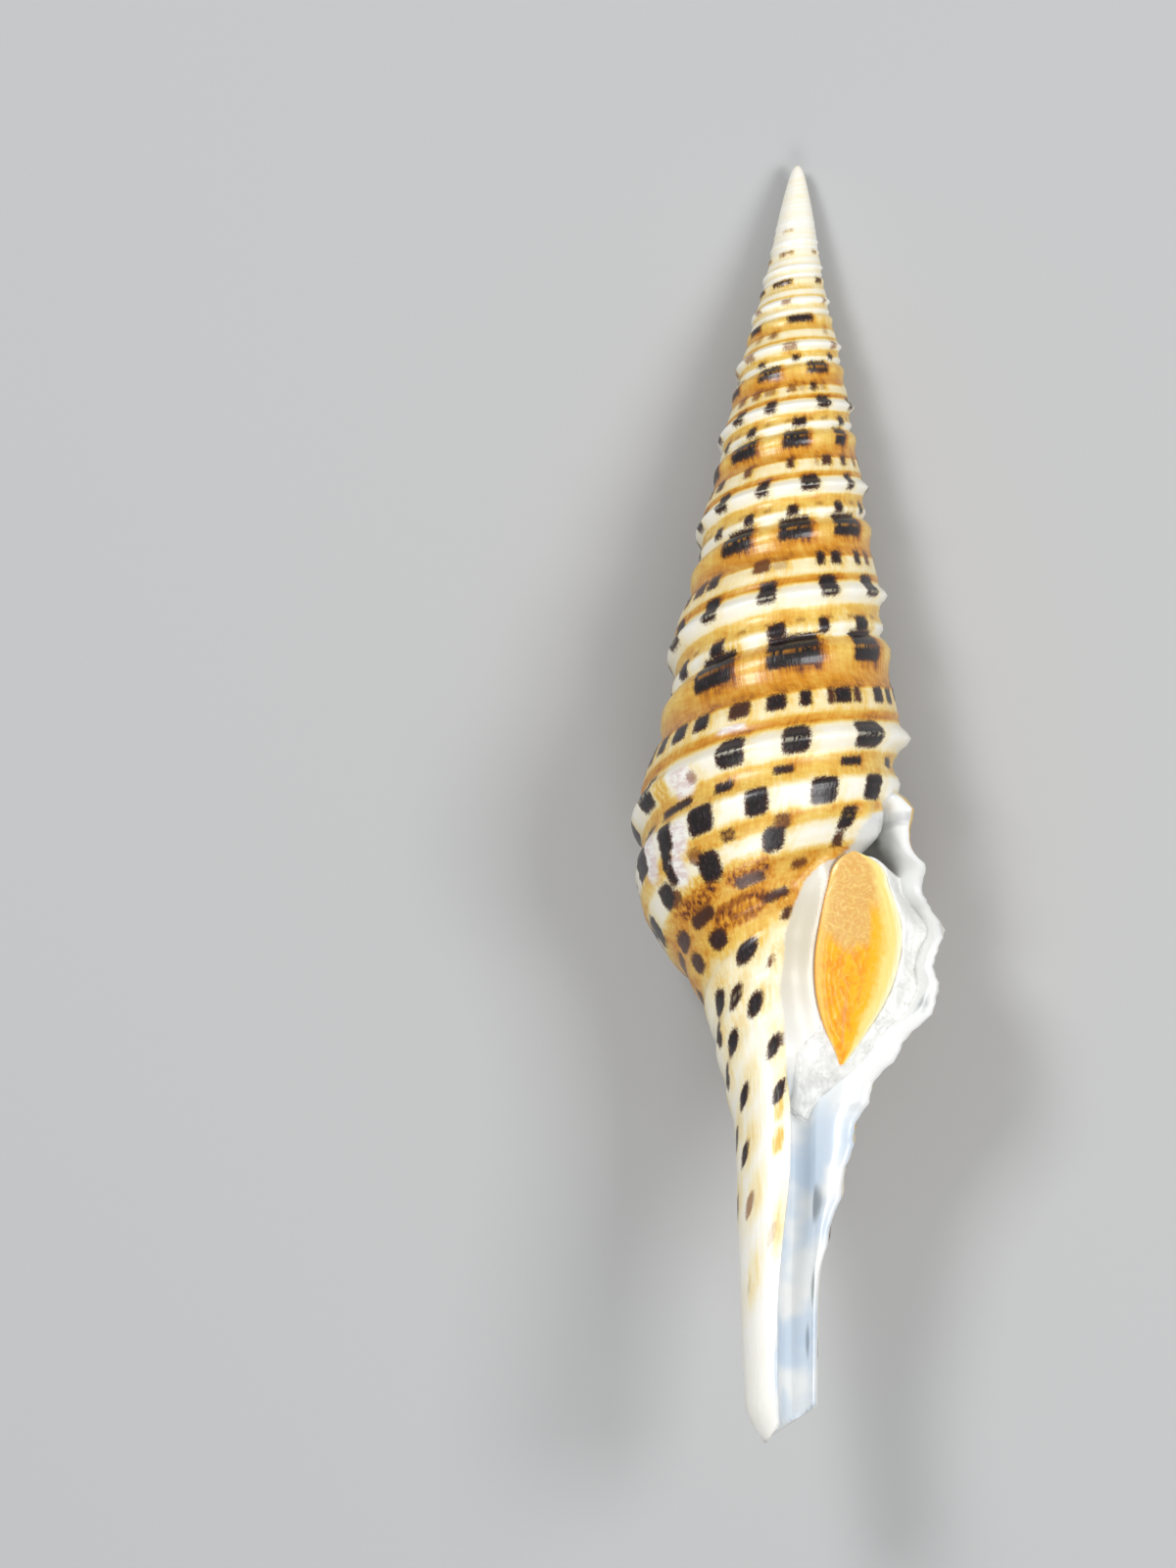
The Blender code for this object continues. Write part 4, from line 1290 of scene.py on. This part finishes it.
def fibre_paths():
    """Seeded wandering lines on the wad: most lie flat, and those at its ends stick out a little."""
    rng = np.random.default_rng(SEED + 5)
    paths = []
    for _ in range(FIBRES):
        share = 0.03 + 0.94 * rng.random()
        down = blend(COTTON_TOP, cotton_end(share), rng.random() ** 0.8)
        heading = rng.normal(0.0, 0.9) + math.pi / 2
        step = (0.25 + 0.35 * rng.random()) * MM
        curl = rng.normal(0.0, 0.35)
        height = abs(rng.normal(0.0, 0.05)) * MM
        points = []
        for _ in range(FIBRE_POINTS):
            points.append((share, down, height))
            heading += curl + rng.normal(0.0, 0.25)
            share = min(max(share + math.cos(heading) * step / (7 * MM), 0.0), 1.0)
            down = min(max(down + math.sin(heading) * step, COTTON_TOP), cotton_end(share) + 0.3 * MM)
            height = min(max(height + rng.normal(0.0, 0.03) * MM, 0.0), 0.35 * MM)
        paths.append(points)
    return np.array(paths)


def unit(vectors):
    return vectors / np.maximum(np.linalg.norm(vectors, axis=-1, keepdims=True), TINY)


def build_fibres():
    """Thin three-sided tubes along the fibre paths, as one mesh."""
    share, down, height = np.moveaxis(fibre_paths(), -1, 0)
    side, front = cotton_surface(share, down)
    spine = place(side, down, front + height)
    tangent = unit(np.gradient(spine, axis=1))
    across = unit(np.cross(tangent, (0.0, 0.0, 1.0)))
    above = np.cross(across, tangent)
    taper = np.sin(np.linspace(0.15, math.pi - 0.15, FIBRE_POINTS))[None, :, None] ** 0.5
    rings = []
    for corner in range(3):
        angle = math.tau * corner / 3 + math.pi / 2
        rings.append(spine + (math.cos(angle) * across + math.sin(angle) * above) * FIBRE_RADIUS * taper)
    faces = []
    for fibre in range(FIBRES):
        for p in range(FIBRE_POINTS - 1):
            a = (fibre * FIBRE_POINTS + p) * 3
            for corner in range(3):
                k = (corner + 1) % 3
                faces.append((a + corner, a + k, a + 3 + k, a + 3 + corner))
    return make_object("cotton_fibres", np.stack(rings, axis=2).reshape(-1, 3), faces)


def cotton_material():
    n = Nodes("cotton")
    coords = n.add("ShaderNodeTexCoord", output="Object")
    strands = n.noise(n.scaled(coords, (1400.0, 420.0, 1400.0)), 1.0, 4.0, 0.7)
    colour = n.mix(n.step(strands, 0.35, 0.65), WOOL_SHADE, WOOL_WHITE)
    n.bumped(strands, 0.2, 0.06 * MM)
    # The wad glows a little in its own colour: painted light for what it scatters.
    n.link(colour, n.shader.inputs["Emission Color"])
    return n.finish(colour, 0.95, Emission_Strength=SCATTERED_LIGHT)


def fibre_material():
    n = Nodes("cotton_fibre")
    # The fibres glow a little too: painted light.
    return n.finish(FIBRE_WHITE, 1.0, Emission_Color=FIBRE_WHITE, Emission_Strength=SCATTERED_LIGHT)


# Stage


def build_floor():
    bpy.ops.mesh.primitive_plane_add(size=FLOOR_SIZE, location=(0, 0, 0))
    floor = bpy.context.object
    floor.name = "floor"
    floor.data.materials.append(Nodes("floor").finish(FLOOR_GREY, 0.8))


def build_lights():
    world = bpy.data.worlds.new("studio")
    world.use_nodes = True
    background = world.node_tree.nodes["Background"]
    background.inputs[0].default_value = (1.0, 1.0, 1.0, 1.0)
    background.inputs[1].default_value = WORLD_LIGHT
    bpy.context.scene.world = world
    for name, at, size, power in LAMPS:
        light = bpy.data.lights.new(name, "AREA")
        light.size = size
        light.energy = power
        lamp = bpy.data.objects.new(name, light)
        lamp.location = at
        lamp.rotation_euler = (-Vector(at)).to_track_quat("-Z", "Y").to_euler()
        bpy.context.scene.collection.objects.link(lamp)


def build_camera():
    """The photograph's view of the opening: the picture's up is the spire's, leaning back a little."""
    turned = Matrix.Rotation(VIEW_TILT - REST_TILT, 3, "X") @ Matrix.Rotation(VIEW_LEAN, 3, "Z")
    across = (PHOTO_WIDTH / 2 - APEX_PIXEL[0]) / PIXELS_PER_METRE
    below = (PHOTO_HEIGHT / 2 - APEX_PIXEL[1]) / PIXELS_PER_METRE
    distance = PHOTO_HEIGHT / PIXELS_PER_METRE * CAMERA_LENS / SENSOR
    centre = Vector(place(0.0, 0.0, 0.0)) + turned @ Vector((across, -below, distance))
    camera = bpy.data.cameras.new("camera")
    camera.lens = CAMERA_LENS
    camera.sensor_width = SENSOR
    camera.clip_start = 0.01
    camera.clip_end = 10.0
    holder = bpy.data.objects.new("camera", camera)
    holder.matrix_world = Matrix.Translation(centre) @ turned.to_4x4()
    bpy.context.scene.collection.objects.link(holder)
    bpy.context.scene.camera = holder


def dress(piece, material, node=None):
    piece.data.materials.clear()
    piece.data.materials.append(material)
    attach(piece, "root")
    if node:
        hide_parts(node)


def build():
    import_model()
    bpy.context.scene.view_settings.view_transform = "Standard"
    build_camera()
    build_floor()
    build_lights()
    dress(build_shell(), shell_material(), "shell")
    dress(build_operculum(), horn_material(), "operculum")
    wad = build_cotton()
    dress(wad, cotton_material(), "cotton_wad")
    dress(build_fibres(), fibre_material())


build()
